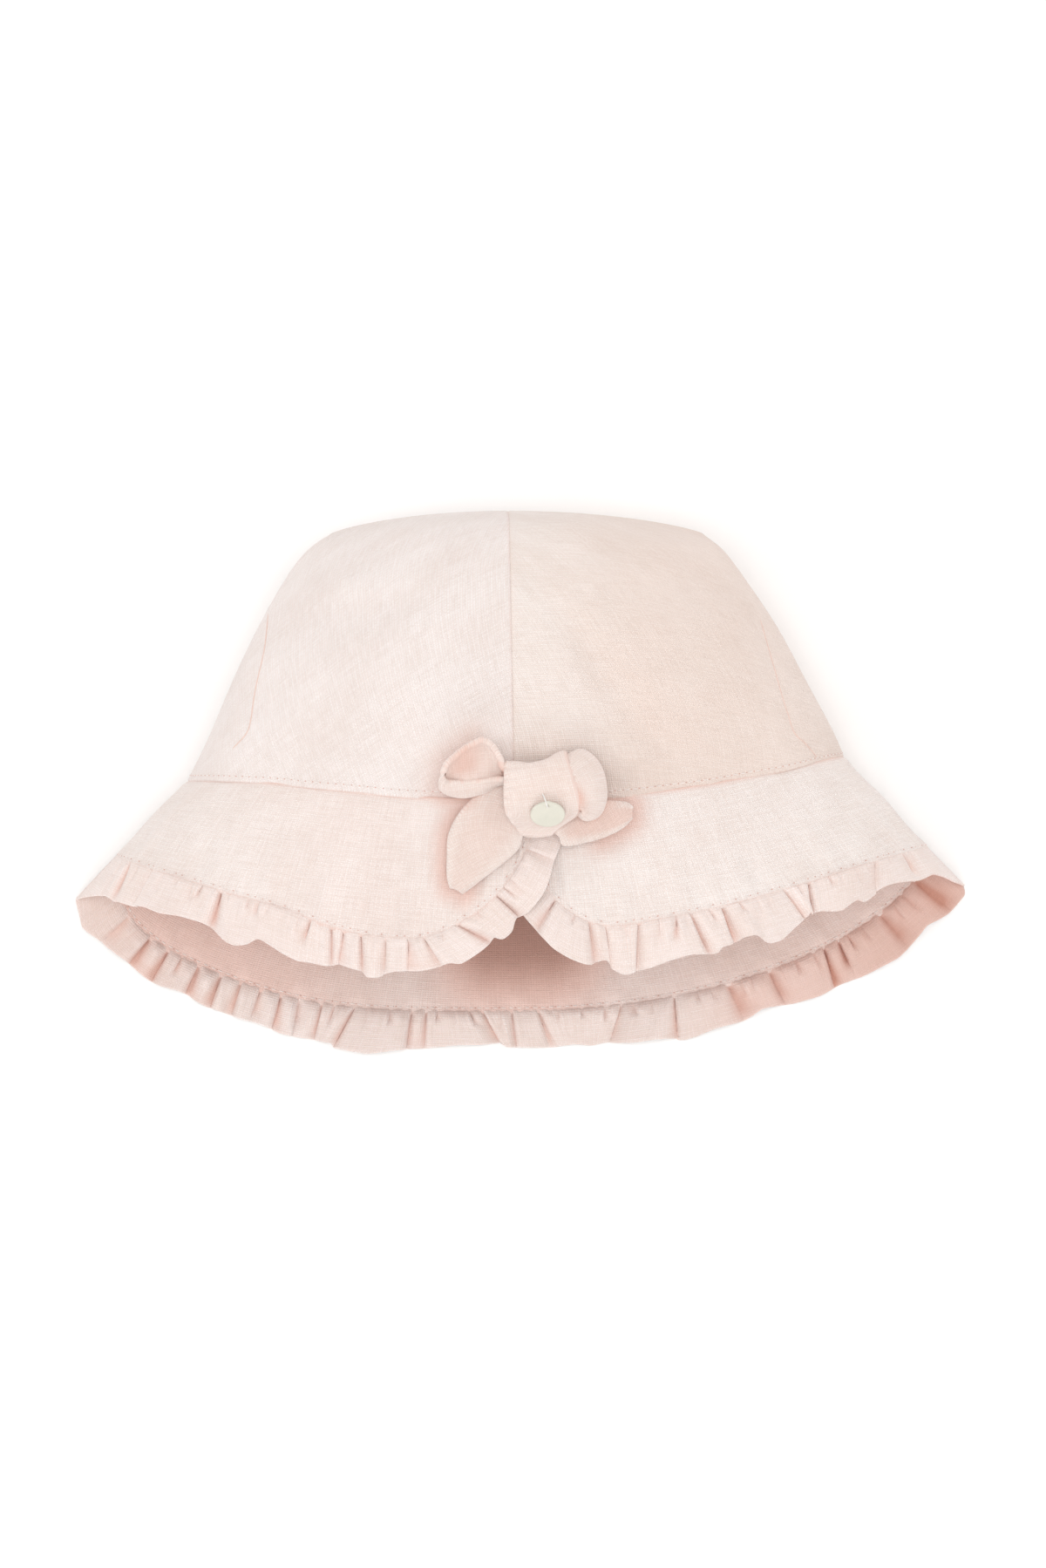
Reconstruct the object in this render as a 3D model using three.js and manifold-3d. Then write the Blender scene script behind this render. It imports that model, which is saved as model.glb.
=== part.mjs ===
// A baby's sun hat in pale pink linen, laid down on its back: two crown panels joined by
// a middle seam, a flared brim that parts in front into two rounded petals, a gathered
// frill along the brim's edge, and a soft bow with a small pearl disc sewn to its knot.
// Millimetres. +X runs to the right of the hat's front, +Y to the top of the crown, and
// +Z from the back, which lies flat on the surface, to the front.
import * as THREE from "three";
import { mergeVertices } from "three/addons/utils/BufferGeometryUtils.js";
import Module from "manifold-3d";

const wasm = await Module();
wasm.setup();

// Driving sizes
const crownWall = 1.6; // outer linen and lining together
const brimWall = 1.8; // outer linen and facing
const frillWall = 1.2; // linen folded double
const ribbonWall = 1.3; // turned tube of linen, pressed flat
const seamGap = 0.4; // between two pieces that are sewn to each other
const edgeGap = 0.7; // the same along the two edges of the brim
const floorZ = 0; // the surface that the back lies on
const baseMiddle = { x: 0.45, y: 0.59 }; // of the whole outline, which becomes the origin

// The skin of the crown, a row for each level from the top fold down to the brim seam.
// front and back: the skin on the hat's middle line. left and right: its side folds.
// frontLeft, frontRight, backLeft, backRight: how late each quarter of the level's line
// dips from a side fold towards the middle.
// full: how round the front swells, where 1 is an ellipse and less is fuller.
const crownLevels = [
  {
    front: [-3.5, 80.9, 28], back: [-3.5, 80.9, 28], left: [-55.4, 74.2, 28], right: [53.6, 74.2, 28],
    frontLeft: 1.6, frontRight: 1.6, backLeft: 1.6, backRight: 1.6, full: 0.9,
  },
  {
    front: [-3.3, 79.0, 41], back: [-3.3, 79.4, 14], left: [-62.6, 69.1, 27.5], right: [59.8, 69.1, 27.5],
    frontLeft: 1.7, frontRight: 1.7, backLeft: 1.45, backRight: 1.45, full: 0.9,
  },
  {
    front: [-3.1, 73.5, 53], back: [-3.0, 72.0, 3], left: [-68.7, 61.2, 27], right: [65.9, 61.2, 27],
    frontLeft: 1.9, frontRight: 1.9, backLeft: 1.25, backRight: 1.25, full: 0.9,
  },
  {
    front: [-2.7, 60.0, 64], back: [-2.5, 58.0, 0], left: [-77.0, 46.6, 26], right: [75.7, 46.6, 26],
    frontLeft: 2.2, frontRight: 2.2, backLeft: 1.05, backRight: 1.05, full: 0.88,
  },
  {
    front: [-2.3, 38.0, 71], back: [-2.0, 32.0, 0], left: [-85.0, 29.8, 24], right: [84.8, 29.8, 24],
    frontLeft: 2.8, frontRight: 2.2, backLeft: 0.95, backRight: 0.95, full: 0.88,
  },
  {
    front: [-1.9, 16.0, 72.5], back: [-1.5, 2.0, 0], left: [-91.6, 14.7, 21], right: [92.1, 16.5, 21],
    frontLeft: 4.0, frontRight: 2.2, backLeft: 0.9, backRight: 0.9, full: 0.92,
  },
  {
    front: [-1.6, -4.2, 69.5], back: [-1.0, -26.5, 0], left: [-97.9, 2.1, 18], right: [95.4, 9.3, 18],
    frontLeft: 5.0, frontRight: 2.2, backLeft: 0.85, backRight: 0.95, full: 1.0,
  },
];

// The skin of the brim in the same columns, from the brim seam to the frill's stitching.
const brimLevels = [
  crownLevels.at(-1),
  {
    front: [-1.4, -23.5, 69.5], back: [-0.5, -46.5, 0], left: [-109.6, -9.3, 13], right: [108.3, -4.6, 13],
    frontLeft: 3.2, frontRight: 2.4, backLeft: 0.8, backRight: 1.05, full: 1.08,
  },
  {
    front: [-1.2, -42.2, 68.0], back: [0.0, -67.2, 0], left: [-120.7, -20.9, 9], right: [121.7, -18.1, 9],
    frontLeft: 2.2, frontRight: 2.7, backLeft: 0.72, backRight: 1.2, full: 1.15,
  },
];
const backFlat = 0.5; // how quickly the back drops from a side fold to the surface
const backRest = 0.75; // share of that drop after which the cloth lies on the surface

// Soft dents in the front of the crown: centre, depth, and half lengths along and across
// a line at the given angle.
const crownDents = [
  { x: -46, y: 51, depth: 2.2, along: 26, across: 6, angle: 8 },
  { x: 22, y: 34, depth: 1.8, along: 30, across: 6, angle: -52 },
  { x: 44, y: 12, depth: 1.6, along: 22, across: 7, angle: -28 },
  { x: -60, y: 14, depth: 1.2, along: 20, across: 7, angle: 70 },
];
const dentStart = 0.15; // share of the crown below the top fold where they come in
const topSpread = 1.35; // over 1 brings the rows of a crown panel closer near the top fold

// The brim's two ends at the front, as turns from the middle of the front to the right
// (1 is the right fold, 2 the back, 3 the left fold). A petal's corner is a quarter
// ellipse that begins at cornerTurn and is cornerSpan turns wide, cut a little flatter
// where cornerCut is over 1.
const rightPetal = { cornerTurn: 0.161, cornerSpan: 0.149, cornerCut: 1 };
const leftPetal = { cornerTurn: 0.16, cornerSpan: 0.2, cornerCut: 1.14 };
const cornerEnd = THREE.MathUtils.degToRad(80); // each end stops short of a point
const cornerShare = 0.09; // of the stations along the brim's edge, for each corner
const normalInset = 0.02; // share of the brim's depth from its edges where its normals are read
// The left end lies on the right one: how far it is lifted at the seam and at the edge,
// and the turns before the middle of the front where the lift starts and is full.
const lap = { seamLift: 2.7, edgeLift: 3.4, startTurn: 0.26, fullTurn: 0.12, seamShare: 0.75 };
// Where the brim's edge hangs lower than its even curve: the turns there, half the span
// round the hat, and how far down.
const edgeSags = [
  { turn: 3.78, span: 0.134, drop: 4.1 },
  { turn: 2.33, span: 0.2, drop: 2.1 },
];

// The frill along the brim's edge.
const frill = {
  width: 13,
  pitch: 8.6, // from one gather to the next
  swell: 2.1, // how far a gather stands out at the hem
  swellCurve: 0.8, // under 1 lets it stand out sooner on the way there
  calmLength: 40, // the gathers are pressed flat over this length at each end
  calmShare: 0.2,
  endLength: 70, // and the frill is narrower over this one
  endNarrowing: 0.26,
  foldTurn: 0.12, // turns either side of a side fold over which it points down the brim
  foldLean: 0.6,
  hemWander: { share: 0.05, length: 69 }, // how far the width varies, and over what length
  restHeight: 7, // below this the frill lies on the surface, and its gathers stand up
  restNarrowing: 0.13, // and it is foreshortened by them
  shares: [0, 0.4, 1], // rows across it, from the stitching to the hem
};
// Unevenness of the gathers: shifts in pitches, and a share of the swell, in slow waves.
const gatherShifts = [
  { share: 0.2, length: 47, start: 0 },
  { share: 0.14, length: 19, start: 1 },
];
const gatherStrength = { middle: 0.78, share: 0.22, length: 61, start: 2 };

// Mesh steps
const crownSteps = { rows: 13, columns: 24 };
const brimSteps = { rows: 4, columns: 96 };
const frillSteps = 4; // steps of the frill for each of the brim's
const edgeSteps = 2400; // along the brim's edge, to space the others evenly
const ribbonRows = 2;

// The bow, as ribbons. at: the middle of the ribbon. across: from there to its edge.
// The loops are one ring of ribbon, pinched in the middle by the knot. It runs from there
// along the lower side of the left loop, back along its upper side, which leans in like a
// pocket, through the knot, and down the right loop, whose outer face leans out.
const bowLoops = [
  { at: [5.0, -1.6, 80.2], across: [0, 0.2, 2.3] },
  { at: [-4.2, 0.0, 80.6], across: [0, 1.1, 2.2] },
  { at: [-9.8, -0.5, 80.6], across: [0, 1.2, 3.0] },
  { at: [-15.1, -1.1, 80.4], across: [-0.2, 1.9, 3.6] },
  { at: [-20.0, -0.5, 80.2], across: [0.1, 1.9, 3.8] },
  { at: [-22.0, 1.3, 80.2], across: [0.5, 1.8, 3.8] },
  { at: [-20.3, 3.6, 80.6], across: [-0.3, 2.4, 3.6] },
  { at: [-16.7, 5.2, 80.9], across: [-0.6, 4.2, 3.7] },
  { at: [-13.3, 6.4, 81.0], across: [-0.4, 5.4, 3.8] },
  { at: [-10.5, 7.2, 81.1], across: [-0.1, 6.0, 3.7] },
  { at: [-8.0, 6.4, 81.1], across: [0.2, 5.0, 3.3] },
  { at: [-5.8, 4.9, 81.1], across: [0.2, 3.1, 2.7] },
  { at: [-4.1, 3.8, 81.0], across: [0.1, 1.1, 2.1] },
  { at: [5.0, 2.8, 80.6], across: [0, 0.3, 2.2] },
  { at: [10.5, 5.2, 80.6], across: [-0.4, -0.3, 2.1] },
  { at: [14.9, 8.6, 80.6], across: [-1.1, -0.9, 2.2] },
  { at: [16.8, 7.4, 80.7], across: [-2.6, -1.6, 3.5] },
  { at: [18.9, 4.1, 80.6], across: [-3.4, -1.5, 4.0] },
  { at: [20.4, 0.7, 80.5], across: [-3.4, -0.7, 4.1] },
  { at: [21.1, -2.9, 80.4], across: [-2.8, -0.1, 4.0] },
  { at: [20.8, -6.3, 80.3], across: [-2.1, 0.5, 3.7] },
  { at: [19.0, -8.2, 80.3], across: [-1.1, 0.6, 3.1] },
  { at: [16.6, -6.6, 79.2], across: [-0.3, 0.2, 1.6] },
  { at: [13.6, -3.2, 79.8], across: [0, 0.2, 1.9] },
];
// The tails are one ribbon through the knot, from the left tip to the right tip.
const bowTails = [
  { at: [-18.1, -29.6, 73.6], across: [1.1, -0.6, -0.1] },
  { at: [-16.9, -26.7, 73.9], across: [3.1, -1.2, -0.1] },
  { at: [-14.5, -22.1, 74.4], across: [5.5, -2.1, -0.2] },
  { at: [-11.8, -17.0, 75.0], across: [7.6, -3.5, -0.3] },
  { at: [-8.2, -11.9, 75.8], across: [7.2, -5.3, -0.4] },
  { at: [-4.2, -8.2, 76.4], across: [4.3, -6.5, -0.2] },
  { at: [-1.4, -6.0, 76.7], across: [2.0, -5.0, 0] },
  { at: [5.0, -5.2, 76.7], across: [0.4, -4.2, 0] },
  { at: [11.8, -9.0, 76.4], across: [-0.6, -4.4, 0] },
  { at: [15.0, -10.8, 75.6], across: [-2.0, -5.4, -0.2] },
  { at: [20.6, -10.0, 74.4], across: [-1.4, -5.2, -0.3] },
  { at: [25.5, -9.3, 73.2], across: [-1.0, -4.3, -0.2] },
  { at: [29.6, -8.3, 72.4], across: [-0.6, -2.9, -0.1] },
  { at: [31.8, -7.6, 71.9], across: [-0.2, -1.0, -0.1] },
];
// The knot is a ring of ribbon round the middle of the loops and tails.
const bowKnot = [
  { at: [4.5, 8.0, 80.6], across: [-8.0, -1.4, 0] },
  { at: [4.6, 6.3, 84.2], across: [-8.2, -1.3, 0] },
  { at: [5.3, 1.4, 85.6], across: [-9.0, -1.2, 0] },
  { at: [6.2, -4.2, 84.8], across: [-9.8, -0.8, 0] },
  { at: [6.6, -7.8, 81.8], across: [-9.4, -0.4, 0] },
  { at: [5.0, -11.3, 78.6], across: [-5.6, 0.1, 0] },
  { at: [4.9, -13.4, 76.4], across: [-3.6, 0, 0] },
  { at: [5.0, -10.2, 74.2], across: [-4.8, -0.2, 0] },
  { at: [5.0, -2.0, 73.8], across: [-6.6, -0.6, 0] },
  { at: [5.0, 5.4, 74.6], across: [-8.0, -1.2, 0] },
];

// The pearl disc, sewn to the knot's lower front by a thread through its hole.
const disc = { radius: 4.9, thickness: 1.2, edge: 0.35, hole: 0.6, holeInset: 1.3, sides: 28, holeSides: 12 };
const discSeat = { at: [7.9, -7.9, 85.2], tilt: THREE.MathUtils.degToRad(46) };

const linen = (colour) => new THREE.MeshStandardMaterial({ color: colour, roughness: 0.92, metalness: 0 });
const linenPink = linen("#f2e3dc");
const linenShade = linen("#eeddd5");
const pearl = new THREE.MeshStandardMaterial({ color: "#e9e5d6", roughness: 0.28, metalness: 0 });

// Smooth guides through the levels, as one curve for each named point and number.
function guides(levels) {
  const through = (values) => new THREE.CatmullRomCurve3(values, false, "catmullrom", 0.5);
  const made = {};
  for (const name of ["front", "back", "left", "right"]) {
    made[name] = through(levels.map((level) => new THREE.Vector3(...level[name])));
  }
  for (const name of ["frontLeft", "frontRight", "backLeft", "backRight", "full"]) {
    made[name] = through(levels.map((level) => new THREE.Vector3(level[name], 0, 0)));
  }
  return made;
}
const crownGuides = guides(crownLevels);
const brimGuides = guides(brimLevels);

// The skin at a share of the way down the guides and a number of turns round the hat.
function sectionPoint(made, share, turns) {
  const turn = ((turns % 4) + 4) % 4;
  const onFront = turn <= 1 || turn >= 3;
  const onRight = turn <= 2;
  const side = made[onRight ? "right" : "left"].getPoint(share);
  const middle = made[onFront ? "front" : "back"].getPoint(share);
  const fromMiddle = onFront ? Math.min(turn, 4 - turn) : Math.abs(turn - 2);
  const swing = (fromMiddle * Math.PI) / 2;
  const near = Math.max(Math.cos(swing), 0);
  const x = THREE.MathUtils.lerp(middle.x, side.x, Math.sin(swing));
  const quarter = (onFront ? "front" : "back") + (onRight ? "Right" : "Left");
  const y = THREE.MathUtils.lerp(side.y, middle.y, near ** made[quarter].getPoint(share).x);
  const rise = near ** made.full.getPoint(share).x;
  const drop = onFront ? rise : Math.min(near ** backFlat / backRest, 1);
  const z = THREE.MathUtils.lerp(side.z, middle.z, drop);
  return new THREE.Vector3(x, y, Math.max(z, floorZ));
}

function dentDepth(x, y) {
  let depth = 0;
  for (const dent of crownDents) {
    const angle = THREE.MathUtils.degToRad(dent.angle);
    const along = ((x - dent.x) * Math.cos(angle) + (y - dent.y) * Math.sin(angle)) / dent.along;
    const across = ((y - dent.y) * Math.cos(angle) - (x - dent.x) * Math.sin(angle)) / dent.across;
    depth += dent.depth * Math.exp(-along * along - across * across);
  }
  return depth;
}

function crownSkin(share, turns) {
  const point = sectionPoint(crownGuides, share, turns);
  const towardsFront = Math.max(Math.cos((turns * Math.PI) / 2), 0);
  const belowFold = THREE.MathUtils.smoothstep(share, 0, dentStart);
  point.z -= dentDepth(point.x, point.y) * towardsFront * belowFold;
  return point;
}

// The outward direction of a skin, from two short steps along it.
function skinNormal(skin, share, turns) {
  const step = 1e-3;
  const down = skin(share + step, turns).sub(skin(share - step, turns));
  const round = skin(share, turns + step).sub(skin(share, turns - step));
  return down.cross(round).normalize();
}

const brimBase = (share, turns) => sectionPoint(brimGuides, THREE.MathUtils.clamp(share, 0, 1), turns);

function lapLift(share, turns) {
  const spread = THREE.MathUtils.lerp(lap.seamShare, 1, share);
  const raised = THREE.MathUtils.smoothstep(turns, 4 - lap.startTurn * spread, 4 - lap.fullTurn * spread);
  return THREE.MathUtils.lerp(lap.seamLift, lap.edgeLift, share) * raised;
}

function brimNormal(share, turns) {
  return skinNormal(brimBase, THREE.MathUtils.clamp(share, normalInset, 1 - normalInset), turns);
}

function edgeSag(share, turns) {
  const bell = (sag) => sag.drop * Math.exp(-(((turns - sag.turn) / sag.span) ** 2));
  return share * share * edgeSags.reduce((sum, sag) => sum + bell(sag), 0);
}

function brimSkin(share, turns) {
  const point = brimBase(share, turns).addScaledVector(brimNormal(share, turns), lapLift(share, turns));
  point.y -= edgeSag(share, turns);
  return point;
}

// A point on a petal's corner, from 0 where it begins to 1 at the brim's end: the turns
// past the beginning, and how much of the brim's depth the cloth covers there.
function petalCorner(petal, share) {
  const angle = cornerEnd * share;
  const across = petal.cornerSpan * Math.sin(angle) ** petal.cornerCut;
  return { across, reach: Math.cos(angle) ** petal.cornerCut };
}

// Stations along the brim's edge, from the right petal's end round the back to the left
// petal's end: how far round the hat, and how much of the brim's depth the cloth covers.
function edgeStation(q) {
  if (q < cornerShare) {
    const { across, reach } = petalCorner(rightPetal, 1 - q / cornerShare);
    return { turns: rightPetal.cornerTurn - across, reach };
  }
  if (q > 1 - cornerShare) {
    const { across, reach } = petalCorner(leftPetal, 1 - (1 - q) / cornerShare);
    return { turns: 4 - leftPetal.cornerTurn + across, reach };
  }
  const along = (q - cornerShare) / (1 - 2 * cornerShare);
  return { turns: THREE.MathUtils.lerp(rightPetal.cornerTurn, 4 - leftPetal.cornerTurn, along), reach: 1 };
}

// The same stations, evenly spaced along the edge.
function spacedStations(count) {
  const lengths = [0];
  let last = null;
  for (let i = 0; i <= edgeSteps; i++) {
    const { turns, reach } = edgeStation(i / edgeSteps);
    const point = brimSkin(reach, turns);
    if (last) lengths.push(lengths.at(-1) + point.distanceTo(last));
    last = point;
  }
  const total = lengths.at(-1);
  const stations = [];
  let i = 0;
  for (let k = 0; k <= count; k++) {
    const target = (total * k) / count;
    while (i < edgeSteps - 1 && lengths[i + 1] < target) i++;
    const part = (target - lengths[i]) / (lengths[i + 1] - lengths[i]);
    stations.push({ ...edgeStation((i + part) / edgeSteps), length: target });
  }
  return { stations, total };
}

// A closed wall of cloth. skin(row, column) gives the outer face, in whole steps, with
// columns running round and rows running down as seen from outside, and the inner face
// lies one thickness inside it. A ring's last column meets its first. A folded wall's
// first row is a fold, where column j lies on column columns - j.
function clothWall({ rows, columns, skin, thickness, ring = false, folded = false }) {
  const wide = ring ? columns : columns + 1;
  const grid = [];
  for (let i = 0; i <= rows; i++) {
    grid.push(Array.from({ length: wide }, (_, j) => skin(i, j)));
  }
  const column = (j) => (ring ? (j + columns) % columns : THREE.MathUtils.clamp(j, 0, columns));
  const row = (i) => THREE.MathUtils.clamp(i, 0, rows);
  const normalAt = (i, j) => {
    const down = grid[row(i + 1)][j].clone().sub(grid[row(i - 1)][j]);
    const round = grid[i][column(j + 1)].clone().sub(grid[i][column(j - 1)]);
    return down.cross(round).normalize();
  };
  const normals = grid.map((line, i) => line.map((_, j) => normalAt(i, j)));
  if (folded) {
    const top = normals[0].map((normal) => normal.clone());
    normals[0].forEach((normal, j) => normal.add(top[columns - j]).normalize());
  }
  const positions = [];
  for (const inside of [0, thickness]) {
    grid.forEach((line, i) =>
      line.forEach((point, j) => positions.push(...point.clone().addScaledVector(normals[i][j], -inside))),
    );
  }
  const inner = (rows + 1) * wide;
  const at = (i, j) => i * wide + column(j);
  const index = [];
  const quad = (a, b, c, d) => index.push(a, b, c, a, c, d);
  for (let j = 0; j < columns; j++) {
    for (let i = 0; i < rows; i++) {
      quad(at(i, j), at(i + 1, j), at(i + 1, j + 1), at(i, j + 1));
      quad(inner + at(i, j), inner + at(i, j + 1), inner + at(i + 1, j + 1), inner + at(i + 1, j));
    }
    if (!folded) quad(at(0, j), at(0, j + 1), inner + at(0, j + 1), inner + at(0, j));
    quad(at(rows, j), inner + at(rows, j), inner + at(rows, j + 1), at(rows, j + 1));
  }
  for (let i = 0; i < rows && !ring; i++) {
    quad(at(i, 0), inner + at(i, 0), inner + at(i + 1, 0), at(i + 1, 0));
    quad(at(i, columns), at(i + 1, columns), inner + at(i + 1, columns), inner + at(i, columns));
  }
  const geometry = new THREE.BufferGeometry();
  geometry.setAttribute("position", new THREE.Float32BufferAttribute(positions, 3));
  geometry.setIndex(index);
  return geometry;
}

// A crown panel, from the middle of the front over its side fold to the middle of the back.
function crownPanel(side) {
  const { rows, columns } = crownSteps;
  const firstTurn = side > 0 ? 0 : -2;
  return clothWall({
    rows,
    columns,
    thickness: crownWall,
    folded: true,
    skin: (i, j) => {
      const point = crownSkin((i / rows) ** topSpread, firstTurn + (2 * j) / columns);
      point.x += (side * seamGap) / 2;
      return point;
    },
  });
}

function brim() {
  const { rows, columns } = brimSteps;
  const { stations } = spacedStations(columns);
  return clothWall({
    rows,
    columns,
    thickness: brimWall,
    skin: (i, j) => {
      const { turns, reach } = stations[j];
      const depth = brimSkin(1, turns).distanceTo(brimSkin(0, turns));
      return brimSkin(THREE.MathUtils.lerp(edgeGap / depth, reach, i / rows), turns);
    },
  });
}

// How far a gather stands out at a length along the frill, from -1 to 1.
function gatherWave(length) {
  const turn = 2 * Math.PI;
  const slowWave = (wave) => wave.share * Math.sin((turn * length) / wave.length + wave.start);
  const shift = gatherShifts.reduce((sum, wave) => sum + slowWave(wave), 0);
  const strength = gatherStrength.middle + slowWave(gatherStrength);
  return strength * Math.cos(turn * (length / frill.pitch + shift));
}

function brimFrill() {
  const columns = brimSteps.columns * frillSteps;
  const { stations, total } = spacedStations(columns);
  const smoothEdge = stations.map(({ turns, reach }) => brimSkin(reach, turns));
  const edge = smoothEdge.map((_, j) => {
    const from = j - (j % frillSteps);
    const to = Math.min(from + frillSteps, columns);
    return smoothEdge[from].clone().lerp(smoothEdge[to], (j - from) / frillSteps);
  });
  const inset = (brimWall - frillWall) / 2;
  return clothWall({
    rows: frill.shares.length - 1,
    columns,
    thickness: frillWall,
    skin: (i, j) => {
      const { turns, reach, length } = stations[j];
      const normal = brimNormal(reach, turns);
      const along = smoothEdge[Math.min(j + 1, columns)].clone().sub(smoothEdge[Math.max(j - 1, 0)]);
      const outward = along.cross(normal).normalize();
      const fromFold = Math.min(Math.abs(turns - 1), Math.abs(turns - 3)) / frill.foldTurn;
      const downBrim = brimSkin(1, turns).sub(brimSkin(0.5, turns)).normalize();
      outward.lerp(downBrim, frill.foldLean * Math.exp(-fromFold * fromFold)).normalize();
      const fromEnd = Math.min(length, total - length);
      const strength = THREE.MathUtils.lerp(
        frill.calmShare,
        1,
        THREE.MathUtils.smoothstep(fromEnd, 0, frill.calmLength),
      );
      const narrowing = frill.endNarrowing * (1 - THREE.MathUtils.smoothstep(fromEnd, 0, frill.endLength));
      const lying = 1 - THREE.MathUtils.smoothstep(edge[j].z, 0, frill.restHeight);
      const width = frill.width * (1 - narrowing) * (1 - frill.restNarrowing * lying);
      const wave = gatherWave(length) * strength - lying;
      const wander = frill.hemWander.share * Math.sin((2 * Math.PI * length) / frill.hemWander.length);
      const reachOut = edgeGap + frill.shares[i] * width * (1 + wander);
      const point = edge[j].clone().addScaledVector(outward, reachOut);
      point.addScaledVector(normal, wave * frill.swell * frill.shares[i] ** frill.swellCurve - inset);
      point.z = Math.max(point.z, floorZ);
      return point;
    },
  });
}

// A ribbon through rows of at and across, cambered so that its middle stands out.
function ribbon(table, { columns, ring, camber }) {
  const through = (name) => {
    const points = table.map((entry) => new THREE.Vector3(...entry[name]));
    return new THREE.CatmullRomCurve3(points, ring, "catmullrom", 0.5);
  };
  const middle = through("at");
  const across = through("across");
  return clothWall({
    rows: ribbonRows,
    columns,
    ring,
    thickness: ribbonWall,
    skin: (i, j) => {
      const share = j / columns;
      const side = across.getPoint(share);
      const offset = (2 * i) / ribbonRows - 1;
      const out = side.clone().cross(middle.getTangent(share)).normalize();
      const point = middle.getPoint(share).addScaledVector(side, offset);
      return point.addScaledVector(out, camber * (1 - offset * offset) + ribbonWall / 2);
    },
  });
}

// A three.js geometry as a solid that can be joined and cut, and back again.
function solidOf(geometry) {
  const bare = geometry.clone().deleteAttribute("normal").deleteAttribute("uv");
  const merged = mergeVertices(bare, 1e-4);
  return new wasm.Manifold(
    new wasm.Mesh({
      numProp: 3,
      vertProperties: new Float32Array(merged.attributes.position.array),
      triVerts: new Uint32Array(merged.index.array),
    }),
  );
}

function geometryOf(solid) {
  const mesh = solid.getMesh();
  const geometry = new THREE.BufferGeometry();
  geometry.setAttribute("position", new THREE.BufferAttribute(mesh.vertProperties, 3));
  geometry.setIndex(new THREE.BufferAttribute(mesh.triVerts, 1));
  return geometry;
}

function pearlDisc() {
  const half = disc.thickness / 2;
  const profile = [
    [0, -half],
    [disc.radius - disc.edge, -half],
    [disc.radius, -half + disc.edge],
    [disc.radius, half - disc.edge],
    [disc.radius - disc.edge, half],
    [0, half],
  ].map(([x, y]) => new THREE.Vector2(x, y));
  const blank = new THREE.LatheGeometry(profile, disc.sides).rotateX(Math.PI / 2);
  const drill = new THREE.CylinderGeometry(disc.hole, disc.hole, 3 * disc.thickness, disc.holeSides);
  drill.rotateX(Math.PI / 2).translate(0, disc.radius - disc.holeInset, 0);
  return geometryOf(solidOf(blank).subtract(solidOf(drill)));
}

function piece(name, geometry, material) {
  const mesh = new THREE.Mesh(geometry, material);
  mesh.name = name;
  return mesh;
}

const hat = new THREE.Group();
hat.add(piece("crown_left", crownPanel(-1), linenPink));
hat.add(piece("crown_right", crownPanel(1), linenPink));
hat.add(piece("brim", brim(), linenPink));
hat.add(piece("frill", brimFrill(), linenShade));

const bow = new THREE.Group();
bow.add(piece("bow_tails", ribbon(bowTails, { columns: 39, ring: false, camber: 0.7 }), linenShade));
bow.add(piece("bow_loops", ribbon(bowLoops, { columns: 96, ring: true, camber: 0.5 }), linenShade));
bow.add(piece("bow_knot", ribbon(bowKnot, { columns: 40, ring: true, camber: 0.6 }), linenShade));
const charm = piece("pearl_disc", pearlDisc(), pearl);
charm.position.set(...discSeat.at);
charm.rotation.x = discSeat.tilt;
bow.add(charm);
hat.add(bow);
hat.position.set(-baseMiddle.x, -baseMiddle.y, -floorZ);

export default hat;
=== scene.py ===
import math

import bpy
import numpy as np
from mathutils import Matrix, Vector
from mathutils.bvhtree import BVHTree


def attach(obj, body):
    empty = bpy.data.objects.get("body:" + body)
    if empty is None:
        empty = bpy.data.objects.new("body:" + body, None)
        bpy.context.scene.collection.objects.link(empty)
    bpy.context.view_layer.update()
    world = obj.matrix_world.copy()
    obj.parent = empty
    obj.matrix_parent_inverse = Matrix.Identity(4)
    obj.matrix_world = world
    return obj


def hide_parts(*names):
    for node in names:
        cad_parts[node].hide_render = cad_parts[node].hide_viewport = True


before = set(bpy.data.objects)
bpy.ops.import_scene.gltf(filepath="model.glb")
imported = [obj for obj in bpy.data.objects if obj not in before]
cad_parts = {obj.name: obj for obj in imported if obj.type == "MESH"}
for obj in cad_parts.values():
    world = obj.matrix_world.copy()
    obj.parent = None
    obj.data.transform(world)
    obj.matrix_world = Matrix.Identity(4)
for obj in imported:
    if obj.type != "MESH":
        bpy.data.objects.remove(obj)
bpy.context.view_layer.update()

print("frame loaded with", len(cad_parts), "nodes")

# Everything below is in millimetres on the hat's own axes: +X to the right of its front,
# +Y to the top of the crown, +Z from the back, which lies on the floor, to the front.
hatMiddle = np.array([0.45, 0.59, 0])  # of the whole outline, which is the frame's origin
metre = 0.001


# Small helpers for numbers and directions

def fade(value, start, end):
    part = np.clip((value - start) / (end - start), 0, 1)
    return part * part * (3 - 2 * part)


def mix(first, second, part):
    return first + (second - first) * part


def unit(vectors):
    return vectors / np.maximum(np.linalg.norm(vectors, axis=-1, keepdims=True), 1e-9)


def bell(distance, halfWidth):
    return np.exp(-(distance / halfWidth) ** 2)


def hump(value, amount, at, halfWidth):
    return amount * bell(value - at, halfWidth)


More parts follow.
